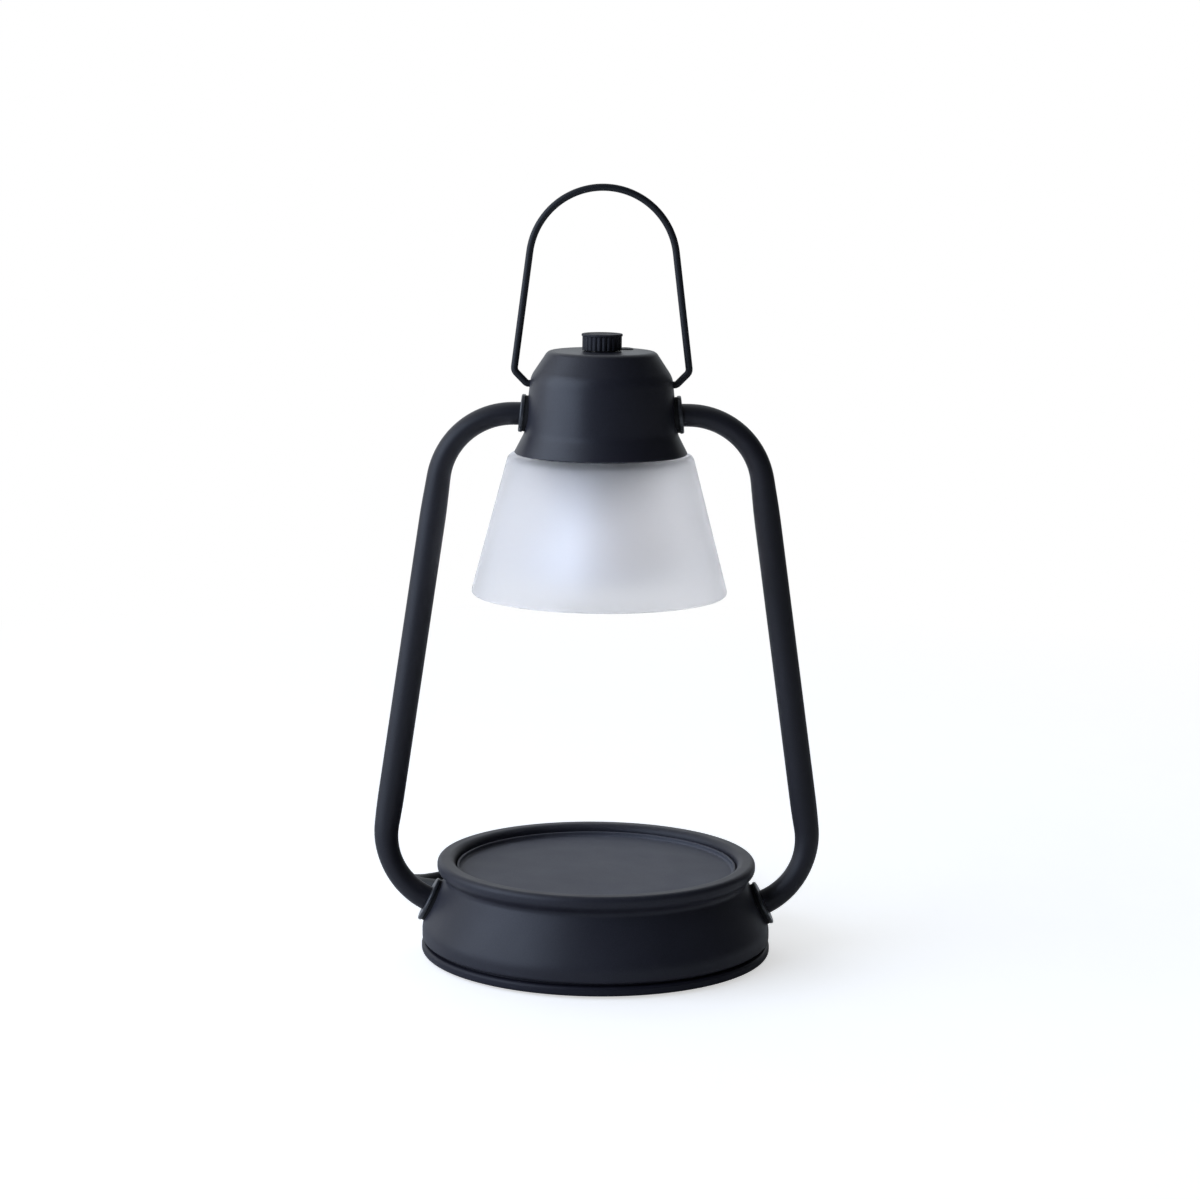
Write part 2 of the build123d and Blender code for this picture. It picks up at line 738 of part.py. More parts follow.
with BuildPart() as bulb_pins:
    with BuildSketch(Plane.XY.offset(socket_seat_z - bulb_pin_len / 2)):
        with GridLocations(bulb_pin_pitch, 0, 2, 1):
            Circle(bulb_pin_r)
    extrude(amount=1.5 * bulb_pin_len)
bulb_pins.part.label = "bulb_pins"
export_step(bulb_pins.part, "parts/bulb_pins.step")

with BuildPart() as bulb_reflector:
    with BuildSketch(Plane.XZ):
        with BuildLine():
            Spline(
                (bulb_throat_r, bulb_base_bottom),
                (bulb_belly_r, bulb_belly_z),
                (bulb_face_r, bulb_face_z + bulb_rim_h),
            )
            Polyline(
                (bulb_face_r, bulb_face_z + bulb_rim_h),
                (bulb_face_r, bulb_face_z),
                (bulb_face_r - bulb_wall, bulb_face_z),
                (bulb_face_r - bulb_wall, bulb_face_z + bulb_rim_h),
            )
            Spline(
                (bulb_face_r - bulb_wall, bulb_face_z + bulb_rim_h),
                (bulb_belly_r - bulb_wall, bulb_belly_z),
                (bulb_throat_r - bulb_wall, bulb_base_bottom),
            )
            Line(
                (bulb_throat_r - bulb_wall, bulb_base_bottom), (bulb_throat_r, bulb_base_bottom)
            )
        make_face()
    revolve(axis=Axis.Z)
bulb_reflector.part.label = "bulb_reflector"
export_step(bulb_reflector.part, "parts/bulb_reflector.step")

with BuildPart() as bulb_lens:
    with BuildSketch(Plane.XY.offset(bulb_face_z + bulb_lens_inset)):
        Circle(bulb_face_r - bulb_wall)
    extrude(amount=bulb_lens_t)
bulb_lens.part.label = "bulb_lens"
export_step(bulb_lens.part, "parts/bulb_lens.step")

with BuildPart() as bulb_capsule:
    with BuildSketch(Plane.XY.offset(bulb_base_bottom)):
        Circle(capsule_r)
    extrude(amount=-capsule_h)
    fillet(bulb_capsule.faces().sort_by(Axis.Z)[0].edges(), capsule_r * 0.9)
bulb_capsule.part.label = "bulb_capsule"
export_step(bulb_capsule.part, "parts/bulb_capsule.step")

# ---------------------------------------------------------------- dimmer and knob
with BuildPart() as dimmer_body:
    with BuildSketch(Plane.XY.offset(dimmer_top)):
        Circle(dimmer_r)
    extrude(amount=-dimmer_t)
    with BuildSketch(Plane.XY.offset(dimmer_top)):
        Circle(bushing_r)
    extrude(amount=bushing_top - dimmer_top)
    with BuildSketch(Plane.XY.offset(bushing_top)):
        Circle(shaft_r + shaft_clearance)
    extrude(amount=dimmer_top - shaft_tail - bushing_top, mode=Mode.SUBTRACT)
dimmer_body.part.label = "dimmer_body"
export_step(dimmer_body.part, "parts/dimmer_body.step")

with BuildPart() as dimmer_nut:
    with BuildSketch(Plane.XY.offset(cap_top)):
        RegularPolygon(dimmer_nut_af / 2 / cos(radians(30)), 6)
        Circle(bushing_r, mode=Mode.SUBTRACT)
    extrude(amount=dimmer_nut_t)
dimmer_nut.part.label = "dimmer_nut"
export_step(dimmer_nut.part, "parts/dimmer_nut.step")

with BuildPart() as knob_shaft:
    with BuildSketch(Plane.XY.offset(dimmer_top - shaft_tail)):
        Circle(shaft_r)
    extrude(amount=bushing_top - dimmer_top + shaft_tail)
    with BuildSketch(Plane.XY.offset(bushing_top)) as shaft_section:
        Circle(shaft_r)
        with Locations((0, 2 * shaft_r - shaft_flat)):
            Rectangle(2 * shaft_r, 2 * shaft_r, mode=Mode.SUBTRACT)
    extrude(amount=shaft_top - bushing_top)
knob_shaft.part.label = "knob_shaft"
export_step(knob_shaft.part, "parts/knob_shaft.step")

with BuildPart() as control_knob:
    with BuildSketch(Plane.XY.offset(knob_bottom)):
        Circle(knob_r)
    extrude(amount=knob_h - knob_flange_t)
    with BuildSketch(Plane.XY.offset(knob_bottom)):
        with PolarLocations(knob_r - flute_depth + flute_r, flute_count):
            Circle(flute_r)
    extrude(amount=knob_h - knob_flange_t, mode=Mode.SUBTRACT)
    with BuildSketch(Plane.XY.offset(knob_top - knob_flange_t)):
        Circle(knob_flange_r)
    extrude(amount=knob_flange_t)
    fillet(control_knob.faces().sort_by(Axis.Z)[-1].edges(), knob_flange_t / 3)
    with BuildSketch(Plane.XY.offset(knob_bottom)):
        Circle(knob_hollow_r)
    extrude(amount=knob_hollow_top - knob_bottom, mode=Mode.SUBTRACT)
    with BuildSketch(Plane.XY.offset(bushing_top)):
        add(shaft_section.sketch.face())
    extrude(amount=shaft_top - bushing_top, mode=Mode.SUBTRACT)
control_knob.part.label = "control_knob"
export_step(control_knob.part, "parts/control_knob.step")

# ---------------------------------------------------------------- bail
bail_foot_z = bail_pivot_z + bail_foot_rise
bow_z = bail_pivot_z + bail_bow_rise
foot_drop = bow_z - bail_foot_z
foot_distance = hypot(bail_foot_x, foot_drop)
# Angle, from straight down, of the point where the leg runs into the bow.
leg_angle = atan2(bail_foot_x, foot_drop) + acos(bail_bow_r / foot_distance)
bow_start = (bail_bow_r * sin(leg_angle), bow_z - bail_bow_r * cos(leg_angle))

with BuildPart() as bail_handle:
    with BuildLine(Plane.XZ) as bail_path:
        FilletPolyline(
            (bail_end_x, bail_pivot_z),
            (bail_bend_x, bail_pivot_z),
            (bail_foot_x, bail_foot_z),
            bow_start,
            radius=[bail_bend_r, bail_foot_bend_r],
        )
        mirror(about=Plane.YZ)
        ThreePointArc(bow_start, (0, bow_z + bail_bow_r), (-bow_start[0], bow_start[1]))
    with BuildSketch(Plane.YZ.offset(bail_end_x)):
        with Locations((0, bail_pivot_z)):
            Circle(wire_r)
    sweep(path=bail_path.wire())
bail_handle.part.label = "bail_handle"
export_step(bail_handle.part, "parts/bail_handle.step")

with BuildPart() as bail_retainers:
    with BuildSketch(Plane.YZ.offset(bail_end_x + retainer_inset)):
        with Locations((0, bail_pivot_z)):
            Circle(retainer_r)
            Circle(wire_r, mode=Mode.SUBTRACT)
    extrude(amount=retainer_t)
    mirror(about=Plane.YZ)
bail_retainers.part.label = "bail_retainers"
export_step(bail_retainers.part, "parts/bail_retainers.step")

# ---------------------------------------------------------------- wiring inside
block_top = shell_bottom + block_h
block_plane = Plane(
    origin=radial(block_r, shell_bottom), x_dir=(cord_dir[0], cord_dir[1], 0), z_dir=(0, 0, 1)
)
with BuildPart() as terminal_block:
    with BuildSketch(block_plane):
        Rectangle(block_l, block_w)
    extrude(amount=block_h)
    with BuildSketch(block_plane.offset(block_h)):
        with GridLocations(block_l / 2, block_w / 2, 2, 2):
            Circle(screw_r)
    extrude(amount=-block_h / 3, mode=Mode.SUBTRACT)
terminal_block.part.label = "terminal_block"
export_step(terminal_block.part, "parts/terminal_block.step")

bush_tip = shell_r + bush_reach
with BuildPart() as cord_bush:
    with BuildSketch(bush_plane.offset(shell_r - bush_tail)):
        Circle(bush_r)
    with BuildSketch(bush_plane.offset(shell_r)):
        Circle(bush_r)
    loft()
    with BuildSketch(bush_plane.offset(shell_r)):
        Circle(bush_r)
    with BuildSketch(bush_plane.offset(bush_tip)):
        Circle(bush_tip_r)
    loft()
    with BuildSketch(bush_plane.offset(shell_r - bush_tail)):
        Circle(cord_r + bush_clearance)
    extrude(amount=bush_tail + bush_reach, mode=Mode.SUBTRACT)
cord_bush.part.label = "cord_bush"
export_step(cord_bush.part, "parts/cord_bush.step")

with BuildPart() as inlet_lead:
    with BuildSketch(bush_plane.offset(block_r + block_l / 2)):
        Circle(cord_r)
    extrude(amount=bush_tip - block_r - block_l / 2)
inlet_lead.part.label = "inlet_lead"
export_step(inlet_lead.part, "parts/inlet_lead.step")

# The lead from the terminal block goes up inside the left tube to the dimmer.
lead_z = shell_bottom + block_h / 2
lead_start = Vector(*radial(block_r, lead_z)) + Vector(*cord_side, 0) * (block_w / 2)
lead_turn_x = socket_neck_r + 1.5 * lead_r
lead_level_z = (bracket_floor + dimmer_top - dimmer_t) / 2
lead_points = [
    lead_start,
    lead_start + Vector(*cord_side, 0) * (block_w / 2),
    (-spigot_foot_x + 10 * flank_cos, 0, spigot_foot_z - 10 * flank_sin),
    (-tube_foot_x, 0, tube_foot_z),
    (-tube_shoulder_x, 0, tube_z),
    (-lead_turn_x, 0, tube_z),
    (-lead_turn_x, 0, lead_level_z),
    (-dimmer_r / 2, 0, lead_level_z),
    (-dimmer_r / 2, 0, dimmer_top - dimmer_t),
]
lead_bend_r = 2 * lead_r
lead_bends = [lead_bend_r, lead_bend_r, tube_lower_bend_r, tube_upper_bend_r]
lead_bends += [lead_r * 1.1, lead_r * 1.1, lead_r * 1.1]
with BuildPart() as tube_lead:
    with BuildLine() as lead_path:
        FilletPolyline(*lead_points, radius=lead_bends)
    lead_wire = lead_path.wire()
    with BuildSketch(Plane(origin=lead_wire @ 0, z_dir=lead_wire % 0)):
        Circle(lead_r)
    sweep(path=lead_wire)
tube_lead.part.label = "tube_lead"
export_step(tube_lead.part, "parts/tube_lead.step")

with BuildPart() as socket_leads:
    with BuildSketch(Plane.XY.offset(socket_neck_top)):
        with PolarLocations(socket_lead_pitch_r, 2, start_angle=bracket_azimuth + 90):
            Circle(socket_lead_r)
    extrude(amount=dimmer_top - dimmer_t - socket_neck_top)
socket_leads.part.label = "socket_leads"
export_step(socket_leads.part, "parts/socket_leads.step")

# ---------------------------------------------------------------- cord, coil and plug
cord_points = [radial(bush_tip, cord_exit_z)] + cord_route
coil_layer_h = 2 * cord_r
coil_h = coil_layers * coil_layer_h
plug_axis_z = coil_h + plug_h / 2
plug_lead_x = plug_x - plug_relief_l
tail_points = tail_route + [(plug_lead_x, plug_y, plug_axis_z)]

with BuildPart() as power_cord:
    for points in (cord_points, tail_points):
        with BuildLine() as cord_path:
            FilletPolyline(*points, radius=cord_radii(points))
        cord_wire = cord_path.wire()
        with BuildSketch(Plane(origin=cord_wire @ 0, z_dir=cord_wire % 0)):
            Circle(cord_r)
        sweep(path=cord_wire)
        print("cord run", round(cord_wire.length, 1), "radii",
              [round(r, 1) for r in cord_radii(points)])
power_cord.part.label = "power_cord"
export_step(power_cord.part, "parts/power_cord.step")

with BuildPart() as cord_coil:
    with BuildSketch(Plane.XZ):
        with BuildLine():
            Polyline(
                (coil_inner_r, 0),
                (coil_outer_r, 0),
                (coil_outer_r, coil_layer_h),
                (coil_upper_outer_r, coil_h),
                (coil_upper_inner_r, coil_h),
                (coil_inner_r, coil_layer_h),
                close=True,
            )
        make_face()
    revolve(axis=Axis.Z)
cord_coil.part = cord_coil.part.moved(Location((coil_x, coil_y, 0)))
cord_coil.part.label = "cord_coil"
export_step(cord_coil.part, "parts/cord_coil.step")

plug_plane = Plane(origin=(plug_x, plug_y, plug_axis_z), x_dir=(0, 1, 0), z_dir=(1, 0, 0))
with BuildPart() as plug_body:
    with BuildSketch(plug_plane):
        RectangleRounded(plug_w, plug_h, plug_edge_r)
    extrude(amount=plug_l)
    with BuildSketch(plug_plane):
        Circle(plug_relief_r)
    with BuildSketch(plug_plane.offset(-plug_relief_l)):
        Circle(cord_r)
    loft()
    with BuildSketch(plug_plane.offset(plug_l - blade_root)):
        with GridLocations(blade_pitch, 0, 2, 1):
            Rectangle(blade_t, blade_w)
    extrude(amount=blade_root, mode=Mode.SUBTRACT)
plug_body.part.label = "plug_body"
export_step(plug_body.part, "parts/plug_body.step")

with BuildPart() as plug_blades:
    with BuildSketch(plug_plane.offset(plug_l - blade_root)):
        with GridLocations(blade_pitch, 0, 2, 1):
            Rectangle(blade_t, blade_w)
    extrude(amount=blade_root + blade_l)
plug_blades.part.label = "plug_blades"
export_step(plug_blades.part, "parts/plug_blades.step")
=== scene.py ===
"""Dress the candle warmer lamp: smooth spun, bent and moulded pieces over the fixed CAD frame.

Sizes are in millimetres, in the frame's own axes: the table is z = 0, the tubes stand in the
XZ plane and the front faces -Y. Each sub-assembly is a class that holds its sizes and has
methods that build its surfaces and dress them.
"""

from __future__ import annotations

import json
import logging
import math
from dataclasses import dataclass
from enum import Enum
from typing import Sequence

import bpy
import numpy as np
from mathutils import Matrix, Vector

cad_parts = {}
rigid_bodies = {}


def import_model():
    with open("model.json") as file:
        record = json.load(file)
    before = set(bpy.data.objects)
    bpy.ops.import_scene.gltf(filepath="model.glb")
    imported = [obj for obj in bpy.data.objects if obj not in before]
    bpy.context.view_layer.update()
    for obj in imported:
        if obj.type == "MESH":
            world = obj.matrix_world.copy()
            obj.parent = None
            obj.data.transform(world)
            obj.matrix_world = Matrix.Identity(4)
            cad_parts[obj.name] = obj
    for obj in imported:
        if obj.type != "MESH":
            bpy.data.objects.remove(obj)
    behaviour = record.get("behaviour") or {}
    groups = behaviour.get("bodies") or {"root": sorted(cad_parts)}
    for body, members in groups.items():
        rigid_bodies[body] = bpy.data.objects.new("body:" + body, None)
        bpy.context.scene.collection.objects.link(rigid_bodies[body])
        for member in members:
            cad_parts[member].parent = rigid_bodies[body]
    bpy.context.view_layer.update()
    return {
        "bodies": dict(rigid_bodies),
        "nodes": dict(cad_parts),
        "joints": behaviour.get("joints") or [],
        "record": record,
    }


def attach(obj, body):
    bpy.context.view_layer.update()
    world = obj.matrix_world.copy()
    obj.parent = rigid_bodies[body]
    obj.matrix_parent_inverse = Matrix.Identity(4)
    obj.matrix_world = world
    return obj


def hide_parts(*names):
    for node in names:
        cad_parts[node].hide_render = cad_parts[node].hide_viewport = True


LOG = logging.getLogger("candle_warmer")
MM = 0.001
TAU = 2.0 * math.pi
# Edges that turn by more degrees than this stay sharp.
CREASE = 38.0
# Lengths in mm below this count as none.
TINY = 1e-6
WHITE = (1.0, 1.0, 1.0)

Colour = tuple[float, float, float]
Point = tuple[float, float, float]
Line = Sequence[Sequence[float]]
Socket = bpy.types.NodeSocket


class Body(Enum):
    """The rigid bodies that pieces ride on."""

    LAMP = "lamp"
    BAIL = "bail"
    KNOB = "knob"


class Side(Enum):
    """Which of the two mirrored sides a piece stands on."""

    RIGHT = "right"
    LEFT = "left"


class Slot(Enum):
    """The record's material slots, which new pieces are named with."""

    SHELL = "shell"
    TRAY = "tray"
    PLATE = "plate"
    FOOT = "foot"
    TRIM = "trim"
    TUBE = "tube"
    CAP = "cap"
    FROSTED_GLASS = "frosted_glass"
    BULB_MIRROR = "bulb_mirror"
    BULB_GLASS = "bulb_glass"
    KNOB = "knob"
    BAIL = "bail"
    PLUG = "plug"
    CORD = "cord"


# ---------------------------------------------------------------- surfaces
def unit(vectors: np.ndarray) -> np.ndarray:
    """Return the vectors divided by their lengths."""
    return vectors / np.linalg.norm(vectors, axis=-1, keepdims=True)


def smoothstep(values: np.ndarray) -> np.ndarray:
    """Return 3t^2 - 2t^3 of the values held between 0 and 1."""
    held = np.clip(values, 0.0, 1.0)
    return held * held * (3.0 - 2.0 * held)


def rounded(
    corners: Line, radii: Sequence[float], closed: bool = False, step: float = 6.0
) -> np.ndarray:
    """Round the corners of a line with tangent arcs.

    A corner with turn a and radius r becomes an arc whose centre lies r / cos(a/2) from it
    along the corner's bisector, and which touches both runs r * tan(a/2) from the corner.
    A support point stands a little way out on each run, so that flat runs shade flat.

    Args:
        corners: the line's corners, in two or three dimensions.
        radii: one radius per corner; those of an open line's ends are not used.
        closed: whether the last corner joins the first.
        step: degrees between the points of an arc.

    Returns:
        The rounded line's points, one per row.
    """
    points = np.asarray(corners, float)
    count = len(points)
    back = unit(np.roll(points, 1, axis=0) - points)
    ahead = unit(np.roll(points, -1, axis=0) - points)
    turns = math.pi - np.arccos(np.clip(np.sum(back * ahead, axis=1), -1.0, 1.0))
    reach = np.asarray(radii, float) * np.tan(turns / 2)
    if not closed:
        reach[[0, -1]] = 0.0
    runs = np.linalg.norm(np.roll(points, -1, axis=0) - points, axis=1)
    free = np.maximum(runs - reach - np.roll(reach, -1), 0.0)
    support_reach, support_share, support_least = 0.2, 0.3, 1e-3
    support = np.minimum(support_reach, support_share * free)
    line: list[np.ndarray] = []
    for index in range(count):
        here = points[index]
        if reach[index] < TINY:
            line.append(here[None])
            continue
        radius = radii[index]
        centre = here + unit(back[index] + ahead[index]) * radius / math.cos(turns[index] / 2)
        start = here + back[index] * reach[index]
        parts = max(2, math.ceil(math.degrees(turns[index]) / step))
        angles = np.linspace(0.0, turns[index], parts + 1)[:, None]
        arc = centre + np.cos(angles) * (start - centre) - radius * np.sin(angles) * back[index]
        if support[index - 1] > support_least:
            line.append((start + back[index] * support[index - 1])[None])
        line.append(arc)
        if support[index] > support_least:
            line.append((arc[-1] + ahead[index] * support[index])[None])
    return np.vstack(line)


def wall_loop(
    corners: Line, bends: Sequence[float], wall: float, edge: float = 0.3, step: float = 6.0
) -> np.ndarray:
    """Give a profile line a wall on its left and close it into a loop.

    The inner line's corners are the mitred offsets of the outer ones, and its bends are the
    outer bends less the wall where the line turns left, or plus the wall where it turns
    right, so that the wall keeps one thickness.

    Args:
        corners: the outer line's corners as (radius, height).
        bends: one radius per inner corner of that line.
        wall: the wall's thickness.
        edge: radius that the two free edges are rounded to.
        step: degrees between the points of an arc.

    Returns:
        The closed loop's points, counter-clockwise.
    """
    outer = np.asarray(corners, float)
    along = unit(np.diff(outer, axis=0))
    left = np.stack([-along[:, 1], along[:, 0]], axis=1)
    before, after = np.vstack([left[:1], left]), np.vstack([left, left[-1:]])
    inner = outer + wall * (before + after) / (1 + np.sum(before * after, axis=1))[:, None]
    turning = np.sign(along[:-1, 0] * along[1:, 1] - along[:-1, 1] * along[1:, 0])
    least_bend = 0.15
    inner_bends = np.maximum(np.asarray(bends) - turning * wall, least_bend)
    radii = np.concatenate([[edge], bends, [edge, edge], inner_bends[::-1], [edge]])
    return rounded(np.vstack([outer, inner[::-1]]), radii, closed=True, step=step)


@dataclass
class Surface:
    """A mesh as arrays: its points in millimetres, and its faces."""

    points: np.ndarray
    quads: np.ndarray
    triangles: np.ndarray

    @classmethod
    def from_grid(
        cls, grid: np.ndarray, ring: bool = False, first_pole: bool = False, last_pole: bool = False
    ) -> Surface:
        """Build a surface from a grid whose columns always close on themselves.

        A face joins rows i and i+1 and columns j and j+1, in the order that makes its normal
        the column direction crossed with the row direction.

        Args:
            grid: points as (rows, columns, 3).
            ring: whether the last row joins the first.
            first_pole: whether the first row is one point.
            last_pole: whether the last row is one point.

        Returns:
            The surface, with each pole row merged into one vertex.
        """
        rows, columns = grid.shape[:2]
        points = grid.reshape(-1, 3)
        index = np.arange(rows * columns).reshape(rows, columns)
        if first_pole:
            index[0] = 0
        if last_pole:
            index[-1] = (rows - 1) * columns
        following = np.roll(index, -1, axis=1)
        upper, upper_following = np.roll(index, -1, axis=0), np.roll(following, -1, axis=0)
        low = 1 if first_pole else 0
        high = rows if ring else rows - (2 if last_pole else 1)
        quads = np.stack(
            [index[low:high], following[low:high], upper_following[low:high], upper[low:high]], -1
        ).reshape(-1, 4)
        fans = []
        if first_pole:
            fans.append(np.stack([index[0], following[1], index[1]], -1))
        if last_pole:
            fans.append(np.stack([index[-2], following[-2], index[-1]], -1))
        triangles = np.vstack(fans) if fans else np.zeros((0, 3), int)
        corners = np.concatenate([quads.ravel(), triangles.ravel()])
        used, packed = np.unique(corners, return_inverse=True)
        split = quads.size
        return cls(points[used], packed[:split].reshape(-1, 4), packed[split:].reshape(-1, 3))

    def merged(self, *others: Surface) -> Surface:
        """Join this surface and others, with their faces renumbered by running totals.

        Args:
            *others: the surfaces to add.

        Returns:
            All of them as one surface.
        """
        parts = [self, *others]
        starts = np.cumsum([0] + [len(part.points) for part in parts[:-1]])
        return Surface(
            np.vstack([part.points for part in parts]),
            np.vstack([part.quads + start for part, start in zip(parts, starts)]),
            np.vstack([part.triangles + start for part, start in zip(parts, starts)]),
        )

    def mirrored(self) -> Surface:
        """Return the surface with x turned to -x and its faces wound the other way."""
        return Surface(self.points * (-1, 1, 1), self.quads[:, ::-1], self.triangles[:, ::-1])

    def placed(self, origin: Sequence[float], axis: Sequence[float]) -> Surface:
        """Stand the surface's z axis along a direction at a place.

        The new axes are the direction w, u = y x w made unit, and v = w x u.

        Args:
            origin: where the old origin goes.
            axis: the direction that the old z axis takes.

        Returns:
            The turned and moved surface.
        """
        w = unit(np.asarray(axis, float))
        start = np.array([0.0, 1.0, 0.0]) if abs(w[1]) < 0.9 else np.array([1.0, 0.0, 0.0])
        u = unit(np.cross(start, w))
        frame = np.stack([u, np.cross(w, u), w])
        return Surface(self.points @ frame + np.asarray(origin, float), self.quads, self.triangles)

    def around(self, radius: float, count: int, first: float) -> Surface:
        """Repeat the surface on a circle about z.

        Args:
            radius: the circle's radius.
            count: how many copies.
            first: azimuth of the first copy, in degrees.

        Returns:
            The copies as one surface.
        """
        angles = math.radians(first) + TAU * np.arange(count) / count
        shifts = np.stack([radius * np.cos(angles), radius * np.sin(angles), 0 * angles], 1)
        copies = [Surface(self.points + shift, self.quads, self.triangles) for shift in shifts]
        return copies[0].merged(*copies[1:])

    def to_mesh(self, name: str, crease: float = CREASE) -> bpy.types.Mesh:
        """Put the arrays into a Blender mesh in metres, smooth but for its sharp edges.

        Args:
            name: the mesh's name.
            crease: edges that turn by more degrees than this stay sharp.

        Returns:
            The mesh.
        """
        mesh = bpy.data.meshes.new(name)
        sizes = np.concatenate([np.full(len(self.quads), 4), np.full(len(self.triangles), 3)])
        corners = np.concatenate([self.quads.ravel(), self.triangles.ravel()])
        starts = np.concatenate([[0], np.cumsum(sizes)[:-1]])
        mesh.vertices.add(len(self.points))
        mesh.vertices.foreach_set("co", (self.points * MM).astype(np.float32).ravel())
        mesh.loops.add(len(corners))
        mesh.loops.foreach_set("vertex_index", corners.astype(np.int32))
        mesh.polygons.add(len(sizes))
        mesh.polygons.foreach_set("loop_start", starts.astype(np.int32))
        mesh.polygons.foreach_set("use_smooth", np.ones(len(sizes), bool))
        mesh.update(calc_edges=True)
        mesh.validate()
        mesh.set_sharp_from_angle(angle=math.radians(crease))
        return mesh


def lathe(profile: np.ndarray, columns: int = 224, solid: bool = False) -> Surface:
    """Turn a profile about z: the point (r, z) at angle a goes to (r cos a, r sin a, z).

    Args:
        profile: points as (radius, height), counter-clockwise round the material.
        columns: how many steps the turn has.
        solid: whether the profile runs from the axis at its bottom to the axis at its top;
            otherwise it is a closed loop off the axis.

    Returns:
        The turned surface.
    """
    angles = np.linspace(0.0, TAU, columns, endpoint=False)
    radius, height = profile[:, :1], profile[:, 1:]
    grid = np.stack(
        [radius * np.cos(angles), radius * np.sin(angles), height + 0 * angles], axis=-1
    )
    return Surface.from_grid(grid, ring=not solid, first_pole=solid, last_pole=solid)


def arc_length(line: np.ndarray) -> np.ndarray:
    """Return the distance travelled along a line at each of its points."""
    return np.concatenate([[0.0], np.cumsum(np.linalg.norm(np.diff(line, axis=0), axis=1))])


def resampled(line: np.ndarray, step: float) -> np.ndarray:
    """Divide a line into equal steps of arc length, by linear interpolation.

    Args:
        line: the line's points.
        step: length of a step, which is then fitted to the line's length.

    Returns:
        The new points, from the same start to the same end.
    """
    travelled = arc_length(line)
    count = round(travelled[-1] / step)
    stations = np.linspace(0.0, travelled[-1], count + 1)
    return np.stack([np.interp(stations, travelled, line[:, axis]) for axis in range(3)], axis=1)


def averaged(values: np.ndarray, reach: int) -> np.ndarray:
    """Average each value with its neighbours, the end values being repeated past the ends.

    Args:
        values: one value per station.
        reach: how many neighbours count on each side.

    Returns:
        The averaged values, as many as before.
    """
    count = 2 * reach + 1
    return np.convolve(np.pad(values, reach, mode="edge"), np.ones(count) / count, mode="valid")


def sweep(path: np.ndarray, across: np.ndarray, depth: np.ndarray, columns: int = 48) -> Surface:
    """Carry an ellipse along a path in the XZ plane and close its ends.

    With T the path's direction and N = Y x T, the ring at each point p is
    p + across * cos(a) * N + depth * sin(a) * Y, for a from 0 to a full turn.

    Args:
        path: points of the centre line.
        across: half width in the path's plane, one per point.
        depth: half width along Y, one per point.
        columns: how many points each ring has.

    Returns:
        The closed tube.
    """
    along = unit(np.gradient(path, axis=0))
    normal = np.stack([along[:, 2], 0 * along[:, 0], -along[:, 0]], axis=1)
    angles = np.linspace(0.0, TAU, columns, endpoint=False)[None, :, None]
    rings = (
        path[:, None]
        + across[:, None, None] * np.cos(angles) * normal[:, None]
        + depth[:, None, None] * np.sin(angles) * np.array([0.0, 1.0, 0.0])
    )
    first = np.repeat(path[:1, None], columns, axis=1)
    last = np.repeat(path[-1:, None], columns, axis=1)
    return Surface.from_grid(np.concatenate([first, rings, last]), first_pole=True, last_pole=True)


def disc(radius: float, low: float, high: float, edge: float, columns: int = 96) -> Surface:
    """Turn a solid disc whose two rims are rounded.

    Args:
        radius: the disc's radius.
        low: height of its underside.
        high: height of its top.
        edge: radius of the rounding on both rims.
        columns: how many steps the turn has.

    Returns:
        The disc's surface.
    """
    corners = [(0.0, low), (radius, low), (radius, high), (0.0, high)]
    return lathe(rounded(corners, [0, edge, edge, 0]), columns, solid=True)


def washer(hole: float, radius: float, thickness: float, bends: Sequence[float]) -> Surface:
    """Turn a flat ring that lies on z = 0.

    Args:
        hole: the hole's radius.
        radius: the washer's radius.
        thickness: the washer's thickness.
        bends: how far its edges are rounded, from the hole's foot round to its top.

    Returns:
        The washer's surface.
    """
    corners = [(hole, 0.0), (radius, 0.0), (radius, thickness), (hole, thickness)]
    return lathe(rounded(corners, bends, closed=True), 96)


def screw_head(radius: float, height: float, rise: float, recess: float) -> Surface:
    """Build a domed screw head with a cross recess as a height over a polar grid.

    The top is rise + height * (1 - (r / radius)^4), less the recess depth where the smaller
    of |x| and |y| is under a fifth of the radius and r is under six tenths of it, with soft
    edges to the cross.

    Args:
        radius: the head's radius.
        height: how far the dome stands above its rim.
        rise: height of the rim above the seat.
        recess: depth of the cross.

    Returns:
        The head, closed underneath, standing on z = 0.
    """
    columns, rows = 96, 26
    arm, arm_edge = 0.27 * radius, 0.1 * radius
    reach, reach_edge = 0.66 * radius, 0.1 * radius
    angles = np.linspace(0.0, TAU, columns, endpoint=False)[None]
    radii = radius * np.linspace(1.0, 0.0, rows)[:, None]
    x, y = radii * np.cos(angles), radii * np.sin(angles)
    cross = smoothstep((arm - np.minimum(abs(x), abs(y))) / arm_edge)
    cross = cross * smoothstep((reach - radii) / reach_edge)
    top = rise + height * (1 - (radii / radius) ** 4) - recess * cross
    rim = np.stack([x[:1], y[:1], 0 * x[:1]], -1)
    foot = np.zeros_like(rim)
    grid = np.concatenate([foot, rim, np.stack([x, y, top + 0 * x], -1)])
    return Surface.from_grid(grid, first_pole=True, last_pole=True)


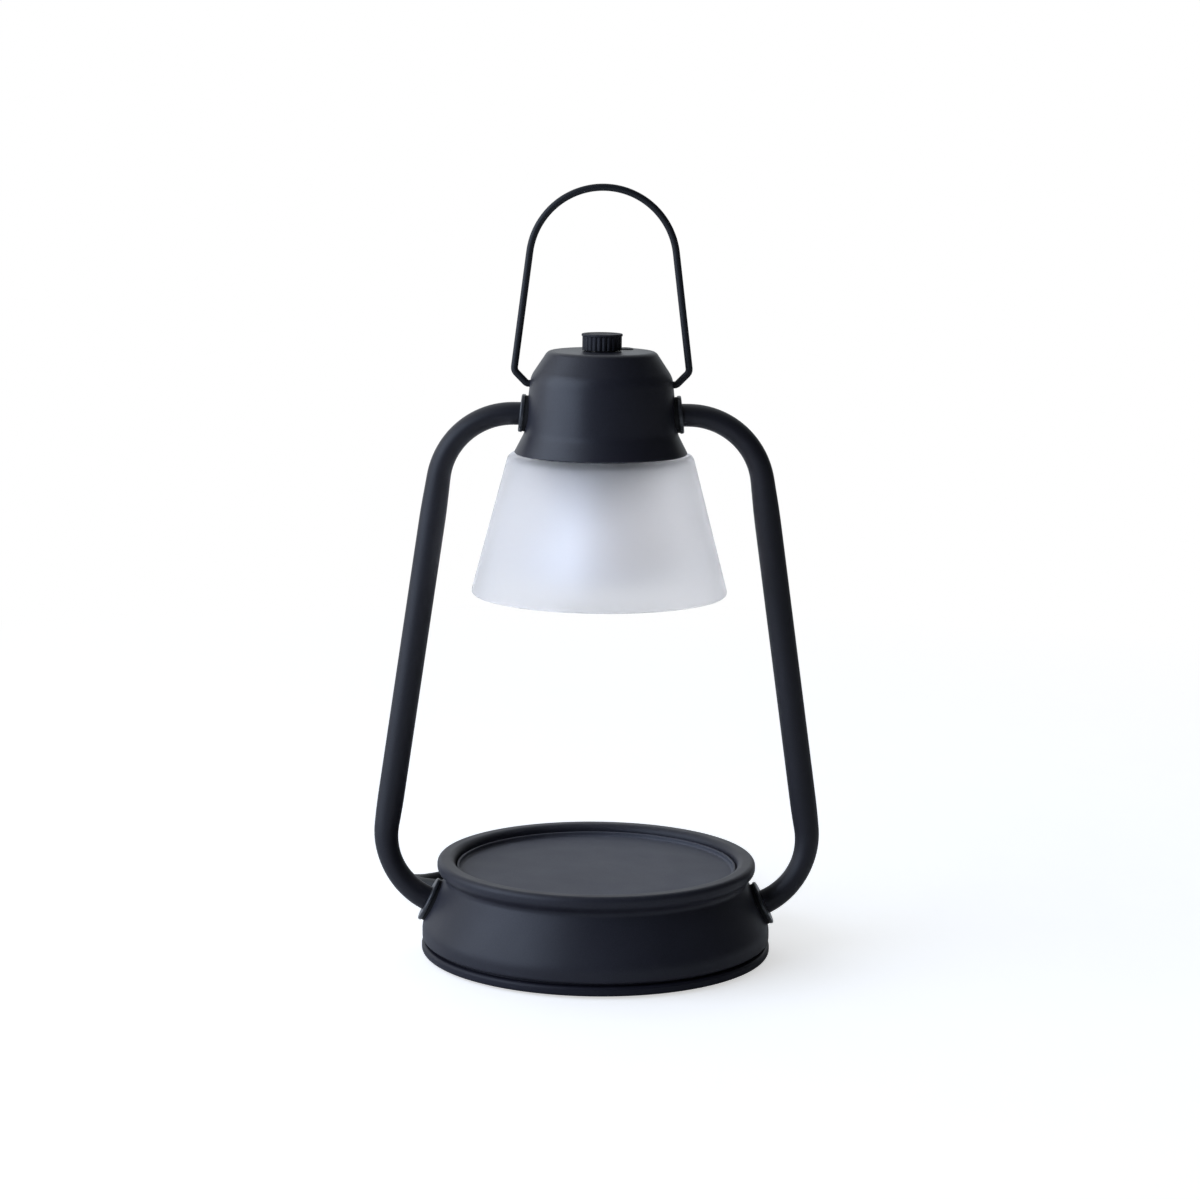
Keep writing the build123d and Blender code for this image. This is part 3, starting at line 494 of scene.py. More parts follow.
def bored(mesh: bpy.types.Mesh, cutter: Surface) -> bpy.types.Mesh:
    """Cut a closed surface out of a mesh.

    Args:
        mesh: the mesh to cut.
        cutter: the closed surface that is taken away.

    Returns:
        The cut mesh; the other one is removed.
    """
    scene = bpy.context.scene
    body = bpy.data.objects.new("to_bore", mesh)
    tool = bpy.data.objects.new("bore", cutter.to_mesh("bore"))
    scene.collection.objects.link(body)
    scene.collection.objects.link(tool)
    modifier = body.modifiers.new("bore", "BOOLEAN")
    modifier.object = tool
    modifier.operation = "DIFFERENCE"
    modifier.solver = "EXACT"
    bpy.context.view_layer.update()
    graph = bpy.context.evaluated_depsgraph_get()
    result = bpy.data.meshes.new_from_object(body.evaluated_get(graph))
    result.set_sharp_from_angle(angle=math.radians(CREASE))
    bpy.data.objects.remove(body)
    bpy.data.objects.remove(tool)
    bpy.data.meshes.remove(mesh)
    return result


# ---------------------------------------------------------------- finishes
class NodeNet:
    """A node tree, with short calls to add and join its nodes."""

    def __init__(self, owner: bpy.types.Material | bpy.types.World) -> None:
        """Turn on the owner's nodes."""
        owner.use_nodes = True
        self.tree = owner.node_tree

    def add(
        self, kind: str, inputs: dict[str | int, object] | None = None, **settings: object
    ) -> bpy.types.ShaderNode:
        """Add a node.

        Args:
            kind: the node's type, without its ShaderNode prefix.
            inputs: for each socket, a value to set or another socket to link from.
            **settings: properties of the node.

        Returns:
            The node.
        """
        node = self.tree.nodes.new("ShaderNode" + kind)
        for key, value in settings.items():
            setattr(node, key, value)
        for key, value in (inputs or {}).items():
            self.join(value, node.inputs[key])
        return node

    def join(self, value: object, socket: Socket) -> None:
        """Link a socket from another one, or set it to a value.

        Args:
            value: the other socket, or the value; a colour needs no alpha.
            socket: the socket that takes it.
        """
        if isinstance(value, Socket):
            self.tree.links.new(value, socket)
        elif isinstance(value, tuple) and len(value) == 3 and socket.type == "RGBA":
            socket.default_value = (*value, 1.0)
        else:
            socket.default_value = value

    def seen(self) -> Socket:
        """Tell rays that see white from those that only light the lamp.

        Returns:
            A socket of 1 for a ray from the camera or through glass, and 0 for any other.
        """
        path = self.add("LightPath").outputs
        rays = {0: path["Is Camera Ray"], 1: path["Is Transmission Ray"]}
        return self.add("Math", rays, operation="MAXIMUM").outputs[0]


class CoatNet(NodeNet):
    """A material's node tree, with the patterns that the finishes share."""

    def __init__(self, name: str) -> None:
        """Start a material with a shader and its output.

        Args:
            name: the material's name.
        """
        self.material = bpy.data.materials.new(name)
        super().__init__(self.material)
        self.shader = self.tree.nodes["Principled BSDF"]
        self.output = self.tree.nodes["Material Output"]

    def set(self, **inputs: object) -> None:
        """Set or link the shader's sockets, named with _ for a space."""
        for key, value in inputs.items():
            self.join(value, self.shader.inputs[key.replace("_", " ")])

    def place(self) -> Socket:
        """Return the point's own coordinates."""
        return self.add("TexCoord").outputs["Object"]

    def noise(
        self, scale: float, detail: float = 2.0, place: Socket | None = None, rough: float = 0.5
    ) -> Socket:
        """Add a noise pattern.

        Args:
            scale: features per metre.
            detail: octaves of finer pattern.
            place: the coordinates to read, or None for the point's own.
            rough: how strong the finer octaves are.

        Returns:
            The pattern's value socket.
        """
        inputs = {"Vector": place or self.place(), "Scale": scale, "Detail": detail}
        inputs["Roughness"] = rough
        return self.add("TexNoise", inputs).outputs["Fac"]

    def rings(self) -> Socket:
        """Add coordinates that are the same all round z.

        Returns:
            The socket of (distance from z, 0, height).
        """
        apart = self.add("SeparateXYZ", {0: self.place()})
        flat = self.add("CombineXYZ", {"X": apart.outputs["X"], "Y": apart.outputs["Y"]})
        far = self.add("VectorMath", {0: flat.outputs[0]}, operation="LENGTH").outputs["Value"]
        return self.add("CombineXYZ", {"X": far, "Z": apart.outputs["Z"]}).outputs[0]

    def ranged(
        self, value: Socket, low: float, high: float, first: float = 0.3, last: float = 0.7
    ) -> Socket:
        """Stretch a value from first..last onto low..high.

        Args:
            value: the value's socket.
            low: what first becomes.
            high: what last becomes.
            first: the lowest value that counts.
            last: the highest value that counts.

        Returns:
            The stretched value's socket.
        """
        inputs = {"Value": value, "From Min": first, "From Max": last}
        inputs.update({"To Min": low, "To Max": high})
        return self.add("MapRange", inputs).outputs["Result"]

    def blended(self, factor: Socket, first: Colour, second: Colour) -> Socket:
        """Blend two colours.

        Args:
            factor: 0 for the first colour, up to 1 for the second.
            first: the first colour.
            second: the second colour.

        Returns:
            The blended colour's socket.
        """
        # The Mix node's colour sockets share their names with its other kinds.
        first_colour, second_colour, result = 6, 7, 2
        inputs = {"Factor": factor, first_colour: first, second_colour: second}
        return self.add("Mix", inputs, data_type="RGBA").outputs[result]

    def bump(
        self, height: Socket, distance: float, strength: float = 1.0, below: Socket | None = None
    ) -> Socket:
        """Add a bump.

        Args:
            height: the pattern's value socket.
            distance: how far a value of 1 stands out, in metres.
            strength: how much of it shows.
            below: the normal that it is added to, or None.

        Returns:
            The bumped normal's socket.
        """
        inputs = {"Height": height, "Distance": distance, "Strength": strength}
        if below is not None:
            inputs["Normal"] = below
        return self.add("Bump", inputs).outputs["Normal"]


def shaded(colour: Colour, factor: float) -> Colour:
    """Return the colour made lighter or darker by a factor."""
    return tuple(min(1.0, part * factor) for part in colour)


@dataclass(frozen=True)
class PowderCoat:
    """Satin powder coat on spun or bent steel: fine orange peel, faint spin rings, worn spots.

    Patterns are given in features per metre, and depths in metres.
    """

    name: str
    colour: Colour
    roughness: float
    specular: float = 0.5
    spin: float = 0.0
    spin_rings: float = 420.0
    peel: float = 1100.0
    peel_depth: float = 0.00003
    cloud: float = 26.0
    speck: float = 2600.0
    speck_range: tuple[float, float] = (0.1, 0.42)
    dark: float = 0.84
    light: float = 1.18
    gloss_cloud: float = 60.0
    gloss_spread: float = 0.04

    def build(self) -> bpy.types.Material:
        """Build the coat: colour and roughness wander slowly, and the peel is a bump.

        Returns:
            The material.
        """
        net = CoatNet(self.name)
        parts = {0: net.noise(self.cloud, 3.0), 1: net.noise(self.speck, 1.0)}
        mottled = net.add("Math", parts, operation="MULTIPLY").outputs[0]
        factor = net.ranged(mottled, 0.0, 1.0, *self.speck_range)
        dark, light = shaded(self.colour, self.dark), shaded(self.colour, self.light)
        low, high = self.roughness - self.gloss_spread, self.roughness + self.gloss_spread
        net.set(Base_Color=net.blended(factor, dark, light))
        net.set(Roughness=net.ranged(net.noise(self.gloss_cloud, 4.0), low, high))
        net.set(Specular_IOR_Level=self.specular)
        normal = net.bump(net.noise(self.peel), self.peel_depth, 0.6)
        if self.spin > 0.0:
            rings = net.noise(self.spin_rings, 3.0, net.rings(), 0.65)
            normal = net.bump(rings, self.spin, 0.5, normal)
        net.set(Normal=normal)
        return net.material


@dataclass(frozen=True)
class FrostedGlass:
    """Acid-etched glass: clear body, rough faces, a slightly cloudy etch."""

    name: str
    colour: Colour
    roughness: float
    ior: float = 1.45
    cloud: float = 90.0
    cloud_spread: float = 0.03
    grain: float = 1800.0
    grain_depth: float = 0.00002

    def build(self) -> bpy.types.Material:
        """Build the glass: the etch's depth wanders, with a fine grain as a bump.

        Returns:
            The material.
        """
        net = CoatNet(self.name)
        low, high = self.roughness - self.cloud_spread, self.roughness + self.cloud_spread
        net.set(Base_Color=self.colour, IOR=self.ior, Transmission_Weight=1.0)
        net.set(Roughness=net.ranged(net.noise(self.cloud, 3.0), low, high))
        net.set(Normal=net.bump(net.noise(self.grain), self.grain_depth, 0.35))
        return net.material


@dataclass(frozen=True)
class ClearGlass:
    """Pressed lamp glass with faint waves."""

    name: str
    colour: Colour
    roughness: float
    ior: float = 1.5
    cloud: float = 140.0
    cloud_spread: float = 0.05
    waves: float = 300.0
    wave_depth: float = 0.0001

    def build(self) -> bpy.types.Material:
        """Build the glass: clear, with a low slow bump.

        Returns:
            The material.
        """
        net = CoatNet(self.name)
        low, high = self.roughness, self.roughness + self.cloud_spread
        net.set(Base_Color=self.colour, IOR=self.ior, Transmission_Weight=1.0)
        net.set(Roughness=net.ranged(net.noise(self.cloud), low, high))
        net.set(Normal=net.bump(net.noise(self.waves), self.wave_depth, 0.3))
        return net.material


@dataclass(frozen=True)
class BareMetal:
    """Bare or plated metal with fine turning marks and a few dull spots."""

    name: str
    colour: Colour
    roughness: float
    marks: float = 900.0
    mark_depth: float = 0.00002
    spots: float = 110.0
    dull: float = 0.86
    gloss_cloud: float = 300.0
    gloss_spread: float = 0.1

    def build(self) -> bpy.types.Material:
        """Build the metal, with marks along rings and uneven gloss.

        Returns:
            The material.
        """
        net = CoatNet(self.name)
        spots = net.ranged(net.noise(self.spots), 0.0, 1.0)
        low, high = self.roughness, self.roughness + self.gloss_spread
        net.set(Base_Color=net.blended(spots, self.colour, shaded(self.colour, self.dull)))
        net.set(Metallic=1.0)
        net.set(Roughness=net.ranged(net.noise(self.gloss_cloud, 3.0), low, high))
        net.set(Normal=net.bump(net.noise(self.marks, 2.0, net.rings()), self.mark_depth, 0.4))
        return net.material


@dataclass(frozen=True)
class Moulded:
    """Moulded plastic, rubber or ceramic with a fine eroded grain."""

    name: str
    colour: Colour
    roughness: float
    grain: float = 2200.0
    depth: float = 0.00003
    specular: float = 0.5
    cloud: float = 70.0
    dark: float = 0.88
    light: float = 1.14
    gloss_cloud: float = 160.0
    gloss_spread: float = 0.05

    def build(self) -> bpy.types.Material:
        """Build the moulding: grain as a bump, and slow changes of tone and gloss.

        Returns:
            The material.
        """
        net = CoatNet(self.name)
        slow = net.ranged(net.noise(self.cloud, 3.0), 0.0, 1.0)
        dark, light = shaded(self.colour, self.dark), shaded(self.colour, self.light)
        low, high = self.roughness - self.gloss_spread, self.roughness + self.gloss_spread
        net.set(Base_Color=net.blended(slow, dark, light))
        net.set(Roughness=net.ranged(net.noise(self.gloss_cloud, 3.0), low, high))
        net.set(Specular_IOR_Level=self.specular)
        net.set(Normal=net.bump(net.noise(self.grain), self.depth, 0.5))
        return net.material


class Finish(Enum):
    """Every finish on the lamp."""

    SHELL = PowderCoat("shell_coat", (0.0255, 0.0253, 0.035), 0.45, 0.30, spin=0.00004)
    PLATE = PowderCoat("plate_coat", (0.016, 0.0157, 0.025), 0.46, 0.22)
    TRAY = PowderCoat("tray_coat", (0.073, 0.075, 0.093), 0.62, 0.4, spin=0.00002)
    TUBE = PowderCoat("tube_coat", (0.0185, 0.0178, 0.024), 0.46, 0.33)
    CAP = PowderCoat("cap_coat", (0.0195, 0.0193, 0.028), 0.40, 0.45, spin=0.00009)
    BAIL = PowderCoat("bail_coat", (0.014, 0.015, 0.019), 0.45, 0.3)
    WASHER = PowderCoat("washer_oxide", (0.040, 0.041, 0.048), 0.30, 0.7)
    SCREW = PowderCoat("screw_oxide", (0.027, 0.030, 0.040), 0.42, 0.35)
    ZINC = BareMetal("zinc_plate", (0.62, 0.63, 0.65), 0.28)
    SHAFT = BareMetal("turned_steel", (0.66, 0.66, 0.68), 0.22)
    BLADE = BareMetal("nickel_plate", (0.72, 0.70, 0.65), 0.3, marks=120.0)
    MIRROR = BareMetal("reflector_silver", (0.76, 0.76, 0.77), 0.22, marks=260.0)
    FROSTED = FrostedGlass("etched_glass", (0.956, 0.958, 0.976), 0.85)
    LENS = ClearGlass("lens_glass", (0.95, 0.96, 0.97), 0.08)
    CAPSULE = ClearGlass("capsule_glass", (0.95, 0.95, 0.95), 0.03)
    CERAMIC = Moulded("white_ceramic", (0.78, 0.76, 0.71), 0.42, grain=900.0)
    SOCKET = Moulded("black_phenolic", (0.19, 0.19, 0.195), 0.45)
    HOUSING = Moulded("dimmer_housing", (0.11, 0.11, 0.12), 0.5)
    KNOB = Moulded("knob_plastic", (0.020, 0.0195, 0.026), 0.55, specular=0.27)
    RUBBER = Moulded("black_rubber", (0.016, 0.016, 0.017), 0.75, grain=1500.0, specular=0.3)
    SHEATH = Moulded("cord_sheath", (0.015, 0.015, 0.0165), 0.52, grain=1300.0, specular=0.28)
    PLUG = Moulded("plug_moulding", (0.022, 0.022, 0.024), 0.5)
    SLEEVE = Moulded("wire_sleeve", (0.50, 0.48, 0.44), 0.6, grain=700.0, depth=0.0001)


class Dresser:
    """Adds finished pieces to the scene and dresses the CAD nodes that stay."""

    def __init__(self, frame: dict) -> None:
        """Keep the loaded frame's nodes, with no material built yet."""
        self.nodes = frame["nodes"]
        self.built: dict[Finish, bpy.types.Material] = {}

    def material(self, finish: Finish) -> bpy.types.Material:
        """Return a finish as a material, which is built on first use.

        Args:
            finish: the finish.

        Returns:
            The one material of that finish.
        """
        if finish not in self.built:
            self.built[finish] = finish.value.build()
        return self.built[finish]

    def settle(
        self, thing: bpy.types.Object, finish: Finish, body: Body = Body.LAMP
    ) -> None:
        """Put an object into the scene, coat it and set it on a body.

        Args:
            thing: the object.
            finish: its finish.
            body: the body that it moves with.
        """
        bpy.context.scene.collection.objects.link(thing)
        thing.data.materials.append(self.material(finish))
        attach(thing, body.value)

    def piece(
        self,
        name: str,
        mesh: bpy.types.Mesh,
        finish: Finish,
        slot: Slot,
        replaced: str,
        body: Body = Body.LAMP,
    ) -> bpy.types.Object:
        """Add a mesh as a piece that stands for a CAD node.

        Args:
            name: the piece's name.
            mesh: its mesh, in place.
            finish: its finish.
            slot: the record's material slot; not used.
            replaced: the CAD node that it stands for.
            body: the body that it moves with.

        Returns:
            The piece's object.
        """
        thing = bpy.data.objects.new(name, mesh)
        self.settle(thing, finish, body)
        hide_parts(replaced)
        LOG.info("%s: %d faces, stands for %s", name, len(mesh.polygons), replaced)
        return thing

    def dress(self, finish: Finish, *names: str) -> None:
        """Coat CAD nodes that stay.

        Args:
            finish: their finish.
            *names: the nodes' names.
        """
        for name in names:
            node = self.nodes[name]
            if not node.material_slots:
                node.data.materials.append(None)
            for place in node.material_slots:
                place.material = self.material(finish)
            LOG.info("%s: kept, in %s", name, finish.value.name)


# ---------------------------------------------------------------- base
@dataclass
class LampBase:
    """The weighted base: spun shell, sunk tray, bottom plate, feet, screws and washers."""

    plate_r: float = 62.5
    plate_low: float = 0.8
    plate_high: float = 4.2
    seam_r: float = 60.0
    shell_r: float = 62.3
    shell_low: float = 5.1
    band_top: float = 10.3
    neck_r: float = 53.9
    neck_z: float = 27.5
    rim_r: float = 57.0
    rim_foot_z: float = 30.5
    rim_top: float = 34.25
    rim_w: float = 6.5
    ledge_w: float = 4.5
    flange_w: float = 8.3
    wall: float = 1.2
    ledge_z: float = 28.9
    tray_r: float = 50.0
    tray_top: float = 30.1
    lip_h: float = 1.65
    lip_t: float = 0.95
    foot_r: float = 5.0
    foot_high: float = 1.8
    foot_pitch_r: float = 46.0
    sole_r: float = 2.2
    sole_edge_r: float = 2.9
    sole_h: float = 0.35
    screw_pitch_r: float = 57.2
    screw_head_r: float = 2.9
    screw_dome: float = 0.12
    screw_rim: float = 0.6
    screw_recess: float = 0.5
    screw_sink: float = 0.62
    joint_h: float = 7.3
    gasket_t: float = 0.9
    washer_r: float = 8.1
    washer_t: float = 1.2
    washer_hole_r: float = 4.1
    shell_bends: tuple[float, ...] = (1.3, 8.0, 2.0, 2.4, 1.9, 2.4, 0.4)
    tray_bends: tuple[float, ...] = (0.0, 0.4, 0.28, 0.28, 0.8, 0.0)
    plate_bends: tuple[float, ...] = (0.0, 1.2, 1.2, 0.2, 0.1, 0.0)
    sole_bends: tuple[float, ...] = (0.0, 0.2, 0.2, 0.4, 0.1, 0.0)
    washer_bends: tuple[float, ...] = (0.15, 0.2, 0.55, 0.15)
    columns: int = 288

    @property
    def flank_normal(self) -> np.ndarray:
        """The outward direction square to the right flank."""
        lean = math.atan2(self.shell_r - self.neck_r, self.neck_z - self.band_top)
        return np.array([math.cos(lean), 0.0, math.sin(lean)])

    @property
    def joint(self) -> np.ndarray:
        """Where the right tube's axis meets the flank.

        Returns:
            The point, on the line from the band's top to the neck.
        """
        normal = self.flank_normal
        inward = self.joint_h * normal[2] / normal[0]
        return np.array([self.shell_r - inward, 0.0, self.band_top + self.joint_h])

    def shell_mesh(self) -> bpy.types.Mesh:
        """Turn the shell's wall: flange, foot bend, band, flank, neck, rim, recess and ledge.

        Returns:
            The shell.
        """
        inner_r = self.rim_r - self.rim_w
        corners = [
            (self.shell_r - self.flange_w, self.shell_low),
            (self.shell_r, self.shell_low),
            (self.shell_r, self.band_top),
            (self.neck_r, self.neck_z),
            (self.rim_r, self.rim_foot_z),
            (self.rim_r, self.rim_top),
            (inner_r, self.rim_top),
            (inner_r, self.ledge_z),
            (inner_r - self.ledge_w, self.ledge_z),
        ]
        loop = wall_loop(corners, self.shell_bends, self.wall)
        return lathe(loop, self.columns).to_mesh("base_shell")

    def tray_mesh(self) -> bpy.types.Mesh:
        """Turn the tray: a flat disc with a low upturned edge.

        Returns:
            The tray.
        """
        inner_r = self.tray_r - self.lip_t
        lip_top = self.tray_top + self.lip_h
        corners = [
            (0.0, self.ledge_z),
            (self.tray_r, self.ledge_z),
            (self.tray_r, lip_top),
            (inner_r, lip_top),
            (inner_r, self.tray_top),
            (0.0, self.tray_top),
        ]
        profile = rounded(corners, self.tray_bends)
        return lathe(profile, self.columns, solid=True).to_mesh("tray")

    def plate_mesh(self) -> bpy.types.Mesh:
        """Turn the bottom plate, whose step under the shell makes the dark seam.

        Returns:
            The plate.
        """
        corners = [
            (0.0, self.plate_low),
            (self.plate_r, self.plate_low),
            (self.plate_r, self.plate_high),
            (self.seam_r, self.plate_high),
            (self.seam_r, self.shell_low),
            (0.0, self.shell_low),
        ]
        profile = rounded(corners, self.plate_bends)
        return lathe(profile, self.columns, solid=True).to_mesh("bottom_plate")

    def feet_mesh(self) -> bpy.types.Mesh:
        """Stand four rubber discs on a circle, each with a hollow in its sole.

        Returns:
            The feet.
        """
        corners = [
            (0.0, self.sole_h),
            (self.sole_r, self.sole_h),
            (self.sole_edge_r, 0.0),
            (self.foot_r, 0.0),
            (self.foot_r, self.foot_high),
            (0.0, self.foot_high),
        ]
        one = lathe(rounded(corners, self.sole_bends), 64, solid=True)
        return one.around(self.foot_pitch_r, 4, 45.0).to_mesh("rubber_feet")

    def screws_mesh(self) -> bpy.types.Mesh:
        """Set four cross-recessed heads face down, level with the plate's underside.

        Returns:
            The heads.
        """
        head = screw_head(self.screw_head_r, self.screw_dome, self.screw_rim, self.screw_recess)
        down = head.placed((0.0, 0.0, self.plate_low + self.screw_sink), (0.0, 0.0, -1.0))
        return down.around(self.screw_pitch_r, 4, 0.0).to_mesh("plate_screws")

    def washers_mesh(self) -> bpy.types.Mesh:
        """Turn a domed washer, stand it square to the flank on its gasket, and mirror it.

        Returns:
            Both washers.
        """
        ring = washer(self.washer_hole_r, self.washer_r, self.washer_t, self.washer_bends)
        right = ring.placed(self.joint + self.gasket_t * self.flank_normal, self.flank_normal)
        return right.merged(right.mirrored()).to_mesh("base_washers")

    def build(self, dresser: Dresser) -> None:
        """Add every piece of the base.

        Args:
            dresser: adds and coats the pieces.
        """
        pieces = (
            ("shell_spinning", self.shell_mesh(), Finish.SHELL, Slot.SHELL, "base_shell"),
            ("candle_tray", self.tray_mesh(), Finish.TRAY, Slot.TRAY, "tray_disc"),
            ("weight_plate", self.plate_mesh(), Finish.PLATE, Slot.PLATE, "bottom_plate"),
            ("sole_feet", self.feet_mesh(), Finish.RUBBER, Slot.FOOT, "rubber_feet"),
            ("sole_screws", self.screws_mesh(), Finish.SCREW, Slot.TRIM, "plate_screws"),
            ("flank_washers", self.washers_mesh(), Finish.WASHER, Slot.TRIM, "base_washers"),
        )
        for piece in pieces:
            dresser.piece(*piece)
        dresser.dress(Finish.RUBBER, "base_gaskets")
        dresser.dress(Finish.ZINC, "base_nuts")
        dresser.dress(Finish.CERAMIC, "terminal_block")


# ---------------------------------------------------------------- tubes
@dataclass
class SideTubes:
    """The two bent tubes, a little flattened in their bends as bent tube is."""

    base: LampBase
    radius: float = 4.7
    level_z: float = 193.9
    level_start_x: float = 27.9
    shoulder_x: float = 53.7
    lean: float = 8.25
    shoulder_bend: float = 26.5
    foot_bend: float = 26.5
    seat: float = 1.2
    step: float = 1.5
    # Half width in the tube's plane at shares of its length, from the cap to the base.
    widths: tuple[tuple[float, float], ...] = (
        (0.0, 4.0),
        (0.06, 4.0),
        (0.115, 4.0),
        (0.17, 4.05),
        (0.215, 4.3),
        (0.26, 4.65),
        (0.80, 4.7),
        (0.835, 4.4),
        (0.90, 3.95),
        (0.945, 4.05),
        (1.0, 4.4),
    )
    blur: int = 3
    spread: float = 0.45

    def centre_line(self) -> np.ndarray:
        """Return the right tube's line: level run, leaning run, and a run square to the flank.

        Returns:
            Points from the cap to the base, one step apart.
        """
        joint, normal = self.base.joint, self.base.flank_normal
        slope = math.tan(math.radians(self.lean))
        reach = self.shoulder_x - joint[0] + (self.level_z - joint[2]) * slope
        foot = joint + normal * reach / (normal[0] + normal[2] * slope)
        start = joint + self.seat * normal
        corners = [
            (self.level_start_x, 0.0, self.level_z),
            (self.shoulder_x, 0.0, self.level_z),
            foot,
            start,
        ]
        bends = [0, self.shoulder_bend, self.foot_bend, 0]
        return resampled(rounded(corners, bends, step=1.5), self.step)

    def half_widths(self, path: np.ndarray) -> tuple[np.ndarray, np.ndarray]:
        """Return the tube's half widths in its plane and across it.

        The width in the plane is read off between its stations and averaged over a few steps
        each way. The width across it grows by a set share of what the other loses.

        Args:
            path: the centre line's points.

        Returns:
            The half width in the plane and the one along Y, one of each per point.
        """
        travelled = arc_length(path)
        shares, widths = zip(*self.widths)
        across = averaged(np.interp(travelled / travelled[-1], shares, widths), self.blur)
        return across, self.radius + self.spread * (self.radius - across)

    def build(self, dresser: Dresser) -> None:
        """Add both tubes, the left one mirrored from the right one.

        Args:
            dresser: adds and coats the pieces.
        """
        path = self.centre_line()
        right = sweep(path, *self.half_widths(path), columns=56)
        for side in Side:
            surface = right if side is Side.RIGHT else right.mirrored()
            node = "tube_" + side.value
            name = "side_" + node
            dresser.piece(name, surface.to_mesh(name), Finish.TUBE, Slot.TUBE, node)
        dresser.dress(Finish.SLEEVE, "tube_lead")


# ---------------------------------------------------------------- cap
@dataclass
class LampCap:
    """The spun bell that carries the tubes, the bail, the knob and the socket."""

    top: float = 216.1
    bottom: float = 180.4
    wall: float = 1.0
    centre_hole_r: float = 3.0
    top_r: float = 18.9
    shoulder_r: float = 24.9
    shoulder_z: float = 207.1
    waist_r: float = 26.95
    waist_z: float = 187.3
    mouth_r: float = 30.5
    pivot_z: float = 204.5
    pivot_r: float = 1.35
    bore_reach: float = 40.0
    tube_z: float = SideTubes.level_z
    gasket_t: float = 0.9
    washer_r: float = 6.7
    washer_t: float = 1.4
    washer_hole_r: float = 4.1
    screw_azimuth: float = 48.0
    screw_r: float = 12.4
    screw_head_r: float = 2.8
    screw_dome: float = 0.25
    screw_rim: float = 0.3
    screw_recess: float = 0.28
    bell_bends: tuple[float, ...] = (7.0, 9.0, 2.5)
    bell_edge: float = 0.4
    washer_bends: tuple[float, ...] = (0.15, 0.2, 0.6, 0.15)

    @property
    def side_normal(self) -> np.ndarray:
        """The outward direction square to the cap's right side."""
        lean = math.atan2(self.waist_r - self.shoulder_r, self.shoulder_z - self.waist_z)
        return np.array([math.cos(lean), 0.0, math.sin(lean)])

    def bell_mesh(self) -> bpy.types.Mesh:
        """Turn the bell's wall from its mouth to the hole in its crown, and bore the pivots.

        Returns:
            The bell.
        """
        corners = [
            (self.mouth_r, self.bottom),
            (self.waist_r, self.waist_z),
            (self.shoulder_r, self.shoulder_z),
            (self.top_r, self.top),
            (self.centre_hole_r, self.top),
        ]
        loop = wall_loop(corners, self.bell_bends, self.wall, edge=self.bell_edge)
        bell = lathe(loop, 256).to_mesh("bell")
        bore = disc(self.pivot_r, -self.bore_reach, self.bore_reach, edge=0.1, columns=32)
        return bored(bell, bore.placed((0.0, 0.0, self.pivot_z), (1.0, 0.0, 0.0)))

    def washers_mesh(self) -> bpy.types.Mesh:
        """Turn a washer, stand it square to the cap's side on its gasket, and mirror it.

        Returns:
            Both washers.
        """
        ring = washer(self.washer_hole_r, self.washer_r, self.washer_t, self.washer_bends)
        normal = self.side_normal
        side = self.shoulder_r + (self.shoulder_z - self.tube_z) * normal[2] / normal[0]
        seat = np.array([side, 0.0, self.tube_z]) + self.gasket_t * normal
        right = ring.placed(seat, normal)
        return right.merged(right.mirrored()).to_mesh("cap_washers")

    def screw_mesh(self) -> bpy.types.Mesh:
        """Set the cross-recessed screw that keeps the bracket from turning.

        Returns:
            The screw's head.
        """
        angle = math.radians(self.screw_azimuth)
        place = (self.screw_r * math.cos(angle), self.screw_r * math.sin(angle), self.top)
        head = screw_head(self.screw_head_r, self.screw_dome, self.screw_rim, self.screw_recess)
        return head.placed(place, (0.0, 0.0, 1.0)).to_mesh("bracket_screw")

    def build(self, dresser: Dresser) -> None:
        """Add the bell and what is fixed to it.

        Args:
            dresser: adds and coats the pieces.
        """
        pieces = (
            ("cap_spinning", self.bell_mesh(), Finish.CAP, Slot.CAP, "lamp_cap"),
            ("cap_side_washers", self.washers_mesh(), Finish.WASHER, Slot.TRIM, "cap_washers"),
            ("crown_screw", self.screw_mesh(), Finish.SCREW, Slot.TRIM, "bracket_screw"),
        )
        for piece in pieces:
            dresser.piece(*piece)
        dresser.dress(Finish.RUBBER, "cap_gaskets")
        dresser.dress(Finish.ZINC, "cap_nuts", "socket_bracket", "socket_screws", "dimmer_nut")
        dresser.dress(Finish.HOUSING, "dimmer_body")
        dresser.dress(Finish.SLEEVE, "socket_leads")


# ---------------------------------------------------------------- shade and bulb
@dataclass
class GlassShade:
    """The frosted shade: a flared bell with a flat top, open below."""

    hole_r: float = 18.5
    top: float = 180.1
    top_r: float = 32.4
    mouth_r: float = 45.4
    mouth_z: float = 130.7
    wall: float = 2.6
    bend: float = 2.8
    lip: float = 1.0

    def build(self, dresser: Dresser) -> None:
        """Turn the shade's wall from its rounded mouth to the hole in its top, and add it.

        Args:
            dresser: adds and coats the pieces.
        """
        corners = [
            (self.mouth_r, self.mouth_z),
            (self.top_r, self.top),
            (self.hole_r, self.top),
        ]
        loop = wall_loop(corners, [self.bend], self.wall, edge=self.lip)
        mesh = lathe(loop, 288).to_mesh("shade", crease=60.0)
        dresser.piece("frosted_shade", mesh, Finish.FROSTED, Slot.FROSTED_GLASS, "glass_shade")
        dresser.dress(Finish.SOCKET, "shade_ring", "lamp_socket")


